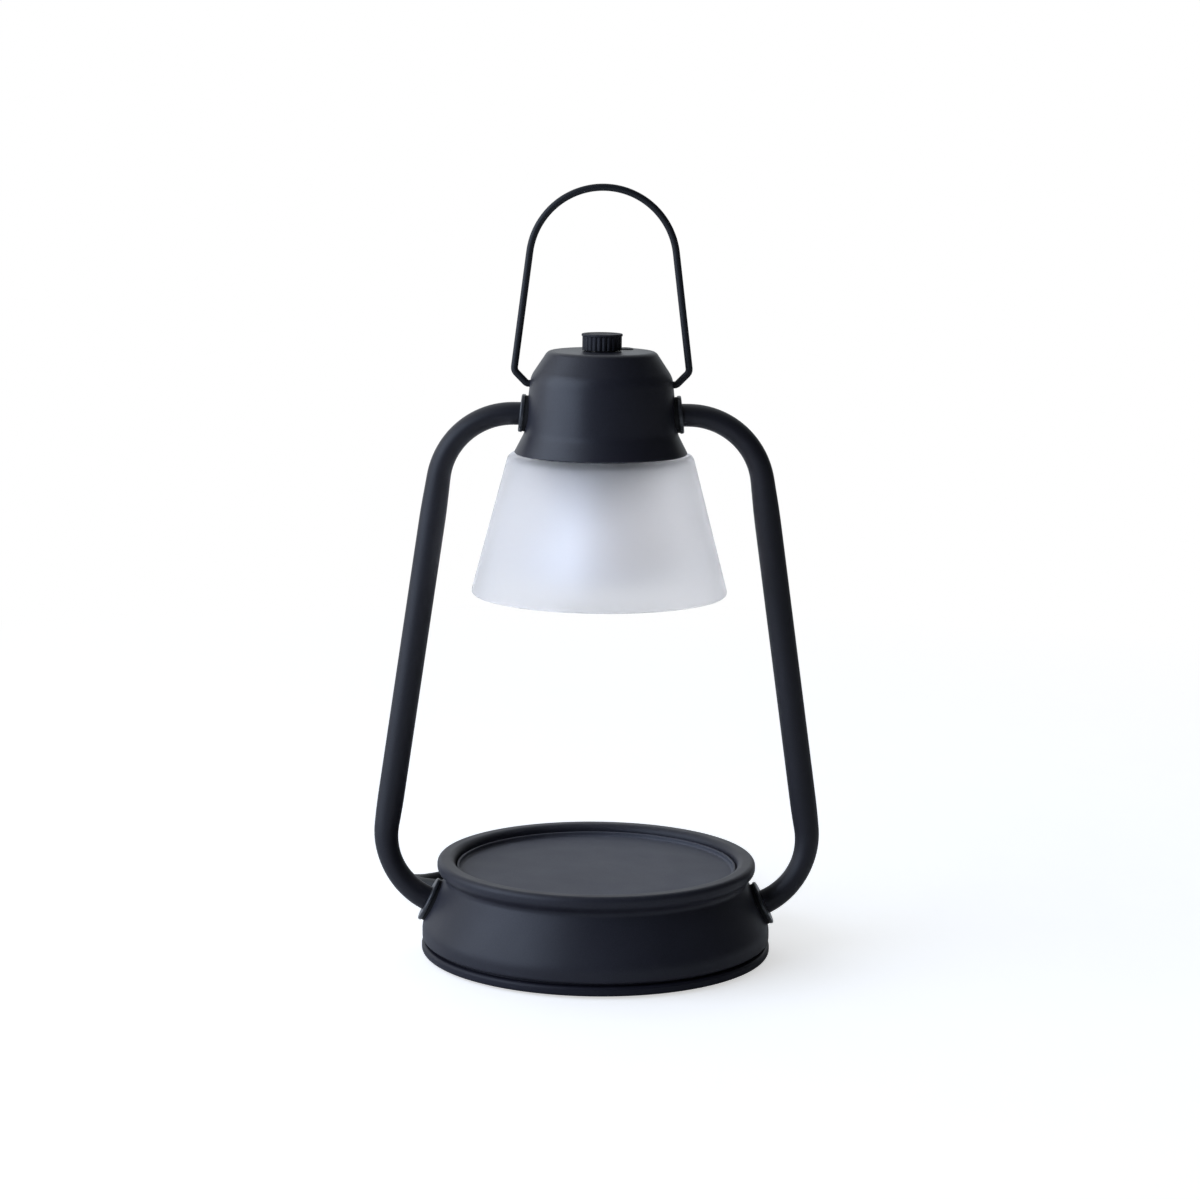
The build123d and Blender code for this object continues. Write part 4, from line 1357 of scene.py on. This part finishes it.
@dataclass
class ReflectorBulb:
    """The 50 mm reflector bulb that hangs in the socket."""

    throat_r: float = 13.4
    throat_z: float = 169.6
    belly_r: float = 22.0
    belly_z: float = 150.0
    rim_r: float = 25.2
    rim_top: float = 139.4
    face_z: float = 135.8
    wall: float = 1.4
    lens_r: float = 23.8
    lens_low: float = 136.2
    lens_t: float = 1.6
    ripple_h: float = 0.12
    ripples: int = 6
    capsule_r: float = 4.5
    capsule_h: float = 20.0
    capsule_bends: tuple[float, ...] = (0.0, 4.0, 0.1, 0.0)

    def bowl(self, inset: float) -> np.ndarray:
        """Return the bowl's line from rim to throat, moved in by an inset.

        The radius is the parabola in height through the rim, the belly and the throat.

        Args:
            inset: distance taken off every radius.

        Returns:
            Points as (radius, height), from the rim up.
        """
        rows = 28
        heights = np.linspace(self.rim_top, self.throat_z, rows)
        levels = [self.rim_top, self.belly_z, self.throat_z]
        parabola = np.polyfit(levels, [self.rim_r, self.belly_r, self.throat_r], 2)
        return np.stack([np.polyval(parabola, heights) - inset, heights], axis=1)

    def reflector_mesh(self) -> bpy.types.Mesh:
        """Turn the reflector's bowl and the upright rim under it.

        Returns:
            The reflector.
        """
        outside = np.vstack([[(self.rim_r, self.face_z)], self.bowl(0.0)])
        inside = np.vstack([[(self.rim_r - self.wall, self.face_z)], self.bowl(self.wall)])
        return lathe(np.vstack([outside, inside[::-1]]), 160).to_mesh("reflector")

    def lens_mesh(self) -> bpy.types.Mesh:
        """Turn the lens, dished a little underneath and filled with low ripples.

        The underside rises and falls with the cosine of the ripples' turns along a radius.

        Returns:
            The lens.
        """
        radii = np.linspace(0.0, self.lens_r, 60)
        waves = 1 - np.cos(self.ripples * TAU * radii / self.lens_r)
        low = self.lens_low + self.ripple_h * waves
        under = np.stack([radii, low], axis=1)
        high = self.lens_low + self.lens_t
        profile = np.vstack([under, [(self.lens_r, high), (0.0, high)]])
        return lathe(profile, 120, solid=True).to_mesh("lens")

    def capsule_mesh(self) -> bpy.types.Mesh:
        """Turn the capsule: a round-ended glass finger.

        Returns:
            The capsule.
        """
        tip = self.throat_z - self.capsule_h
        corners = [
            (0.0, tip),
            (self.capsule_r, tip),
            (self.capsule_r, self.throat_z),
            (0.0, self.throat_z),
        ]
        profile = rounded(corners, self.capsule_bends)
        return lathe(profile, 48, solid=True).to_mesh("capsule")

    def build(self, dresser: Dresser) -> None:
        """Add the bulb's pieces.

        Args:
            dresser: adds and coats the pieces.
        """
        bowl, lens, finger = self.reflector_mesh(), self.lens_mesh(), self.capsule_mesh()
        dresser.piece("bulb_bowl", bowl, Finish.MIRROR, Slot.BULB_MIRROR, "bulb_reflector")
        dresser.piece("bulb_front", lens, Finish.LENS, Slot.BULB_GLASS, "bulb_lens")
        dresser.piece("bulb_finger", finger, Finish.CAPSULE, Slot.BULB_GLASS, "bulb_capsule")
        dresser.dress(Finish.CERAMIC, "bulb_base")
        dresser.dress(Finish.SHAFT, "bulb_pins")


# ---------------------------------------------------------------- knob and bail
@dataclass
class DimmerKnob:
    """The fluted knob on the cap's crown."""

    bottom: float = 216.45
    height: float = 5.75
    radius: float = 6.95
    flange_r: float = 7.2
    flange_t: float = 0.8
    hollow_r: float = 5.1
    hollow_top: float = 219.0
    flutes: int = 24
    flute_depth: float = 0.38
    flute_fade: float = 0.1
    flute_lap: float = 0.02
    skin: float = 0.5
    skin_fade: float = 0.4
    dish_r: float = 5.9
    dish_slope: float = 0.4
    dish_h: float = 0.18
    bends: tuple[float, ...] = (0.0, 0.1, 0.1, 0.25, 0.12, 0.15, 0.28, 0.2, 0.2, 0.0)

    def mesh(self) -> bpy.types.Mesh:
        """Turn the knob and press flutes into its side.

        The radius loses depth * (0.5 + 0.5 cos(flutes * a))^2 on the side below the flange,
        and nothing in the hollow or on the flange.

        Returns:
            The knob.
        """
        top = self.bottom + self.height
        flange = top - self.flange_t
        corners = [
            (0.0, self.hollow_top),
            (self.hollow_r, self.hollow_top),
            (self.hollow_r, self.bottom),
            (self.radius, self.bottom),
            (self.radius, flange),
            (self.flange_r, flange),
            (self.flange_r, top),
            (self.dish_r, top),
            (self.dish_r - self.dish_slope, top - self.dish_h),
            (0.0, top - self.dish_h),
        ]
        columns_per_flute = 12
        profile = rounded(corners, self.bends)
        turned = lathe(profile, self.flutes * columns_per_flute, solid=True)
        points = turned.points
        far = np.hypot(points[:, 0], points[:, 1])
        angle = np.arctan2(points[:, 1], points[:, 0])
        side = smoothstep((far - self.radius + self.skin) / self.skin_fade)
        side = side * smoothstep((flange + self.flute_lap - points[:, 2]) / self.flute_fade)
        cut = side * self.flute_depth * (0.5 + 0.5 * np.cos(self.flutes * angle)) ** 2
        scale = np.where(far > TINY, (far - cut) / np.maximum(far, TINY), 1.0)
        points[:, :2] *= scale[:, None]
        return turned.to_mesh("knob", crease=50.0)

    def build(self, dresser: Dresser) -> None:
        """Add the knob, which turns on its own body.

        Args:
            dresser: adds and coats the pieces.
        """
        finish, slot = Finish.KNOB, Slot.KNOB
        dresser.piece("fluted_knob", self.mesh(), finish, slot, "control_knob", Body.KNOB)
        dresser.dress(Finish.SHAFT, "knob_shaft")


@dataclass
class Bail:
    """The wire bail: hooked ends in the cap, two legs and a round bow."""

    wire_r: float = 1.25
    pivot_z: float = LampCap.pivot_z
    end_x: float = 19.6
    bend_x: float = 26.2
    foot_x: float = 30.7
    foot_rise: float = 4.6
    bow_rise: float = 42.7
    bow_r: float = 25.7
    end_bend: float = 1.5
    foot_bend: float = 2.4
    step: float = 0.7

    def centre_line(self) -> np.ndarray:
        """Return the wire's line.

        A leg touches the bow where the line from its foot is square to the bow's radius.

        Returns:
            Points from the right end over the bow to the left end.
        """
        foot_z, bow_z = self.pivot_z + self.foot_rise, self.pivot_z + self.bow_rise
        drop = bow_z - foot_z
        reach = math.hypot(self.foot_x, drop)
        lean = math.atan2(self.foot_x, drop) + math.acos(self.bow_r / reach)
        meet = (self.bow_r * math.sin(lean), 0.0, bow_z - self.bow_r * math.cos(lean))
        corners = [
            (self.end_x, 0.0, self.pivot_z),
            (self.bend_x, 0.0, self.pivot_z),
            (self.foot_x, 0.0, foot_z),
            meet,
        ]
        leg = rounded(corners, [0, self.end_bend, self.foot_bend, 0], step=4.0)
        angles = np.linspace(lean, TAU - lean, 120)[1:-1]
        bow = np.stack(
            [self.bow_r * np.sin(angles), 0 * angles, bow_z - self.bow_r * np.cos(angles)], axis=1
        )
        return np.vstack([leg, bow, (leg * (-1, 1, 1))[::-1]])

    def build(self, dresser: Dresser) -> None:
        """Add the wire and the discs that keep its ends in.

        Args:
            dresser: adds and coats the pieces.
        """
        path = resampled(self.centre_line(), self.step)
        widths = np.full(len(path), self.wire_r)
        mesh = sweep(path, widths, widths, columns=24).to_mesh("bail")
        dresser.piece("wire_bail", mesh, Finish.BAIL, Slot.BAIL, "bail_handle", Body.BAIL)
        dresser.dress(Finish.SCREW, "bail_retainers")


# ---------------------------------------------------------------- cord
@dataclass
class MainsCord:
    """The mains lead: bush, cord, coil and plug, put away behind the base."""

    radius: float = 2.4
    azimuth: float = 139.5
    exit_z: float = 10.2
    shell_r: float = LampBase.shell_r
    bush_tip: float = 74.0
    bush_root: float = 53.3
    bush_r: float = 3.7
    bush_tip_r: float = 3.0
    bush_gap: float = 0.6
    bush_mouth: float = 0.5
    bush_play: float = 0.05
    mouth_bevel: float = 0.3
    rib_h: float = 0.45
    ribs: int = 6
    rib_power: float = 0.7
    rib_ease: float = 0.25
    coil_centre: tuple[float, float] = (10.0, 104.0)
    lower_turns: tuple[float, ...] = (36.1, 31.15, 26.2, 21.3)
    upper_turns: tuple[float, ...] = (24.5, 29.3, 34.1)
    lower_z: float = 2.4
    upper_z: float = 7.2
    coil_start: float = 245.0
    step_over: tuple[float, float] = (155.0, 215.0)
    # The last turn of each layer: angle in the turn, radius and height. The lower layer's
    # climbs as it closes in, clear of the turn that will lie on it, and the upper layer's
    # steps up on to its neighbour before it leaves for the plug.
    climb: tuple[Point, ...] = (
        (20.0, 21.3, 2.4),
        (85.0, 20.5, 2.4),
        (155.0, 19.65, 7.2),
        (260.0, 24.5, 7.2),
    )
    leave: tuple[Point, ...] = ((50.0, 34.1, 7.2), (90.0, 34.1, 10.4), (118.0, 31.1, 12.1))
    points_per_turn: int = 16
    pull: float = 0.981
    # In metres: the cord's length, and its points on the way to the coil and from it.
    length: float = 1.38
    route: tuple[Point, ...] = (
        (-0.0660, 0.0566, 0.0088),
        (-0.0713, 0.0708, 0.0068),
        (-0.0670, 0.0870, 0.0024),
        (-0.0545, 0.0978, 0.0024),
        (-0.0385, 0.0985, 0.0024),
        (-0.0255, 0.0895, 0.0024),
        (-0.0165, 0.0765, 0.0024),
    )
    tail: tuple[Point, ...] = (
        (-0.0100, 0.1278, 0.0121),
        (-0.0211, 0.1185, 0.0121),
        (-0.0211, 0.0917, 0.0134),
        (-0.0094, 0.0800, 0.0150),
        (-0.0010, 0.0800, 0.0156),
    )
    plug_start: Point = (-1.0, 80.0, 15.6)
    # Along the plug: station, half width, half height, and the superellipse's power.
    plug_sections: tuple[tuple[float, float, float, float], ...] = (
        (0.0, 2.75, 2.75, 2.0),
        (2.0, 2.9, 2.9, 2.0),
        (10.0, 3.5, 3.5, 2.0),
        (12.0, 4.6, 4.0, 2.2),
        (15.0, 7.6, 5.0, 2.8),
        (18.5, 8.9, 5.5, 3.4),
        (22.0, 8.6, 5.2, 4.0),
        (26.0, 8.8, 5.3, 4.5),
        (29.0, 9.7, 5.8, 5.0),
        (31.5, 10.0, 6.0, 5.0),
        (33.3, 10.0, 6.0, 5.0),
        (34.0, 9.2, 5.2, 5.0),
    )
    plug_rows: int = 137
    plug_columns: int = 72
    groove_share: float = 0.09
    groove_pitch: float = 2.0
    groove_run: tuple[float, float] = (1.5, 10.5)
    groove_fade: float = 1.5

    @property
    def direction(self) -> np.ndarray:
        """The level direction in which the cord leaves the base."""
        angle = math.radians(self.azimuth)
        return np.array([math.cos(angle), math.sin(angle), 0.0])

    @property
    def exit_point(self) -> Point:
        """The middle of the bush's mouth, in metres."""
        return (*(self.direction[:2] * self.bush_tip * MM), self.exit_z * MM)

    def coil_points(self) -> np.ndarray:
        """Return the coil's control points, which wind inward below and outward above.

        The turn's radius and height are read off at control angles. All turns step over to
        the next radius between the same two angles, so that they stay beside each other. The
        curve is pulled in from its control points, so these stand 1 / pull times as far out.

        Returns:
            Points in metres.
        """
        knots = [(self.coil_start, self.lower_turns[0], self.lower_z)]
        layers = (
            (self.lower_turns, self.lower_z, self.climb),
            (self.upper_turns, self.upper_z, self.leave),
        )
        turned = 0.0
        for turns, level, last_turn in layers:
            for radii in zip(turns, turns[1:]):
                turned += 360.0
                knots += [(turned + at, radius, level) for at, radius in zip(self.step_over, radii)]
            turned += 360.0
            knots += [(turned + at, radius, height) for at, radius, height in last_turn]
        angles, radii, heights = np.array(knots).T
        stations = np.arange(angles[0], angles[-1], 360.0 / self.points_per_turn)
        share = np.radians(stations)
        radius = np.interp(stations, angles, radii) / self.pull
        height = np.interp(stations, angles, heights)
        x = self.coil_centre[0] + radius * np.cos(share)
        y = self.coil_centre[1] + radius * np.sin(share)
        return np.stack([x, y, height], axis=1) * MM

    def cord_curve(self) -> bpy.types.Object:
        """Lay the cord as one smooth NURBS line through its route, its coil and its tail.

        Returns:
            The cord's object.
        """
        points = np.vstack([[self.exit_point], self.route, self.coil_points(), self.tail])
        curve = bpy.data.curves.new("mains_lead", "CURVE")
        curve.dimensions = "3D"
        spline = curve.splines.new("NURBS")
        spline.points.add(len(points) - 1)
        weighted = np.hstack([points, np.ones((len(points), 1))])
        spline.points.foreach_set("co", weighted.astype(np.float32).ravel())
        spline.order_u = 3
        spline.use_endpoint_u = True
        spline.resolution_u = 5
        curve.bevel_depth = self.radius * MM
        curve.bevel_resolution = 5
        curve.use_fill_caps = True
        return bpy.data.objects.new("mains_lead", curve)

    def bush_mesh(self) -> bpy.types.Mesh:
        """Turn the cord's bush: a tapered sleeve with rounded ribs and a round mouth.

        Outside the shell the radius is the taper less a wave, one period to each rib, raised
        to a power that keeps the grooves wide, and a little shallower toward the tip.

        Returns:
            The bush, along the cord's way out.
        """
        rows = 84
        out = np.linspace(self.shell_r + self.bush_gap, self.bush_tip - self.bush_mouth, rows)
        share = (out - out[0]) / (out[-1] - out[0])
        ribs = self.rib_h * (0.5 - 0.5 * np.cos(self.ribs * TAU * share)) ** self.rib_power
        taper = self.bush_r + (self.bush_tip_r - self.bush_r) * share
        outside = np.stack([taper - ribs * (1 - self.rib_ease * share), out], axis=1)
        bore = self.radius + self.bush_play
        mouth = [(self.bush_tip_r - self.mouth_bevel, self.bush_tip), (bore, self.bush_tip)]
        root = [(bore, self.bush_root), (self.bush_r, self.bush_root)]
        loop = np.vstack([root, outside, mouth])
        sleeve = lathe(loop, 64).placed((0.0, 0.0, self.exit_z), self.direction)
        return sleeve.to_mesh("cord_bush", crease=50.0)

    def plug_mesh(self) -> bpy.types.Mesh:
        """Carry a superellipse along the plug: cord relief, shoulders, waist and flat face.

        The section at each station is (w |cos|^(2/n), h |sin|^(2/n)) with the signs kept; n
        goes from 2, round, at the relief to 5, nearly square, at the body.

        Returns:
            The plug's body.
        """
        stations, widths, heights, powers = np.array(self.plug_sections).T
        along = np.linspace(0.0, stations[-1], self.plug_rows)
        width = np.interp(along, stations, widths)
        height = np.interp(along, stations, heights)
        power = np.interp(along, stations, powers)[:, None]
        first, last = self.groove_run
        groove = smoothstep((along - first) / self.groove_fade)
        groove = groove * smoothstep((last - along) / self.groove_fade)
        wave = 0.5 - 0.5 * np.cos(along * TAU / self.groove_pitch)
        ribs = 1 - self.groove_share * groove * wave
        width, height = averaged(width, 3) * ribs, averaged(height, 3) * ribs
        angles = np.linspace(0, TAU, self.plug_columns, endpoint=False)[None]
        cos, sin = np.cos(angles), np.sin(angles)
        y = width[:, None] * np.sign(cos) * abs(cos) ** (2 / power)
        z = height[:, None] * np.sign(sin) * abs(sin) ** (2 / power)
        x = along[:, None] + 0 * y
        sides = np.stack([x, y, z], axis=-1)
        ends = np.zeros((2, 1, self.plug_columns, 3))
        ends[1, ..., 0] = stations[-1]
        grid = np.concatenate([ends[0], sides, ends[1]]) + self.plug_start
        return Surface.from_grid(grid, first_pole=True, last_pole=True).to_mesh("plug", crease=45.0)

    def build(self, dresser: Dresser) -> None:
        """Args:
            dresser: adds and coats the pieces.
        """
        finish, slot = Finish.PLUG, Slot.PLUG
        dresser.piece("ribbed_bush", self.bush_mesh(), finish, slot, "cord_bush")
        plug = dresser.piece("lead_plug", self.plug_mesh(), finish, slot, "plug_body")
        dresser.dress(Finish.BLADE, "plug_blades")
        dresser.dress(Finish.SHEATH, "inlet_lead")
        lead = self.cord_curve()
        dresser.settle(lead, Finish.SHEATH)
        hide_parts("power_cord", "cord_coil")
        LOG.info("mains_lead: %d points", len(lead.data.splines[0].points))


# ---------------------------------------------------------------- studio
@dataclass
class Studio:
    """Camera, world, lamp and floor.

    Places, the lamp's size and the two fade distances are in metres, and the floor's rings
    and drop are in millimetres.
    """

    place: Point = (0.00028, -1.08757, 0.30664)
    pitch: float = 0.1629
    roll: float = 0.0112
    lens: float = 93.354
    sensor: float = 36.0
    bright_side: Point = (-0.70, 0.68, 0.25)
    world_range: tuple[float, float] = (-0.25, 0.90)
    world_levels: tuple[float, float] = (0.032, 0.88)
    world_colour: Colour = (0.90, 0.95, 1.0)
    key_power: float = 24.0
    key_size: tuple[float, float] = (1.9, 1.6)
    key_colour: Colour = (0.655, 0.78, 1.0)
    key_place: Point = (-1.325, -0.59, 0.62)
    key_aim: Point = (0.0, 0.0, 0.10)
    floor_radii: tuple[float, ...] = (0.0, 60.0, 140.0, 300.0, 700.0, 1800.0)
    floor_drop: float = 0.02
    floor_grey: float = 0.80
    floor_pale: float = 0.82
    floor_fill: float = 0.30
    floor_lift: float = 0.30
    fade_start: float = 0.30
    fade_end: float = 0.75

    def camera(self) -> None:
        """Stand the camera in front, looking down by its pitch and turned by its roll."""
        data = bpy.data.cameras.new("studio_camera")
        data.lens = self.lens
        data.sensor_width = self.sensor
        data.sensor_fit = "HORIZONTAL"
        data.clip_start = 0.01
        cos_p, sin_p = math.cos(self.pitch), math.sin(self.pitch)
        ahead = Vector((0.0, cos_p, -sin_p))
        level, up = Vector((1.0, 0.0, 0.0)), Vector((0.0, sin_p, cos_p))
        right = math.cos(self.roll) * level + math.sin(self.roll) * up
        above = math.cos(self.roll) * up - math.sin(self.roll) * level
        turned = Matrix((right, above, -ahead)).transposed().to_4x4()
        thing = bpy.data.objects.new("studio_camera", data)
        thing.matrix_world = Matrix.Translation(self.place) @ turned
        bpy.context.scene.collection.objects.link(thing)
        bpy.context.scene.camera = thing

    def world(self) -> None:
        """Light the room from the left and behind, and show plain white to the camera.

        The room's level goes smoothly from low to high with the direction's dot product on
        the bright side.
        """
        world = bpy.data.worlds.new("studio_world")
        bpy.context.scene.world = world
        net = NodeNet(world)
        net.tree.nodes.clear()
        bright = tuple(Vector(self.bright_side).normalized())
        sides = {0: net.add("TexCoord").outputs["Generated"], 1: bright}
        toward = net.add("VectorMath", sides, operation="DOT_PRODUCT").outputs["Value"]
        first, last = self.world_range
        low, high = self.world_levels
        inputs = {"Value": toward, "From Min": first, "From Max": last, "To Min": low}
        inputs["To Max"] = high
        level = net.add("MapRange", inputs, interpolation_type="SMOOTHSTEP").outputs["Result"]
        room = net.add("Background", {"Color": self.world_colour, "Strength": level})
        white = net.add("Background", {"Color": WHITE})
        shown = {0: net.seen(), 1: room.outputs[0], 2: white.outputs[0]}
        net.add("OutputWorld", {"Surface": net.add("MixShader", shown).outputs[0]})

    def lamp(self) -> None:
        """Hang one large soft lamp high on the left."""
        data = bpy.data.lights.new("studio_window", "AREA")
        data.shape = "RECTANGLE"
        data.size, data.size_y = self.key_size
        data.energy = self.key_power
        data.color = self.key_colour
        thing = bpy.data.objects.new("studio_window", data)
        turned = (Vector(self.key_aim) - Vector(self.key_place)).to_track_quat("-Z", "Y")
        thing.matrix_world = Matrix.Translation(self.key_place) @ turned.to_matrix().to_4x4()
        bpy.context.scene.collection.objects.link(thing)

    def floor_coat(self) -> bpy.types.Material:
        """Build the floor's material: matt, with a glow that only the camera sees.

        To the camera, or through glass, the floor is its own shade plus the fill, and the
        camera alone adds the lift. It turns white between the two fade distances.

        Returns:
            The material.
        """
        net = CoatNet("studio_floor")
        net.tree.nodes.remove(net.shader)
        grain = net.ranged(net.noise(40.0, 3.0), 0.0, 1.0)
        colour = net.blended(grain, shaded(WHITE, self.floor_grey), shaded(WHITE, self.floor_pale))
        matt = net.add("BsdfDiffuse", {"Color": colour}).outputs[0]
        camera = net.add("LightPath").outputs["Is Camera Ray"]
        level = {0: camera, 1: self.floor_lift, 2: self.floor_fill}
        strength = net.add("Math", level, operation="MULTIPLY_ADD").outputs[0]
        fill = net.add("Emission", {"Color": WHITE, "Strength": strength}).outputs[0]
        lifted = net.add("AddShader", {0: matt, 1: fill}).outputs[0]
        seen = net.seen()
        shown = net.add("MixShader", {0: seen, 1: matt, 2: lifted}).outputs[0]
        far = net.add("VectorMath", {0: net.place()}, operation="LENGTH").outputs["Value"]
        fade = net.ranged(far, 0.0, 1.0, self.fade_start, self.fade_end)
        faded = net.add("Math", {0: fade, 1: seen}, operation="MULTIPLY").outputs[0]
        white = net.add("Emission", {"Color": WHITE, "Strength": 1.0}).outputs[0]
        final = net.add("MixShader", {0: faded, 1: shown, 2: white}).outputs[0]
        net.join(final, net.output.inputs["Surface"])
        return net.material

    def floor(self) -> None:
        """Lay a round pale floor that takes the shadow and fades into the white."""
        columns = 96
        angles = np.linspace(0, TAU, columns, endpoint=False)
        rings = np.array(self.floor_radii)[:, None]
        level = 0 * rings * angles - self.floor_drop
        grid = np.stack([rings * np.cos(angles), rings * np.sin(angles), level], -1)
        mesh = Surface.from_grid(grid[::-1], last_pole=True).to_mesh("studio_floor")
        mesh.materials.append(self.floor_coat())
        thing = bpy.data.objects.new("studio_floor", mesh)
        bpy.context.scene.collection.objects.link(thing)

    def build(self) -> None:
        """Set up everything that isn't the lamp."""
        self.camera()
        self.world()
        self.lamp()
        self.floor()
        bpy.context.scene.view_settings.view_transform = "Standard"


def main() -> None:
    """Load the frame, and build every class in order."""
    logging.basicConfig(level=logging.INFO, format="%(name)s: %(message)s")
    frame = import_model()
    dresser = Dresser(frame)
    Studio().build()
    MainsCord().build(dresser)
    base = LampBase()
    parts = (base, SideTubes(base), LampCap(), GlassShade(), ReflectorBulb(), DimmerKnob(), Bail())
    for part in parts:
        part.build(dresser)
    bpy.context.view_layer.update()


if __name__ == "__main__":
    main()
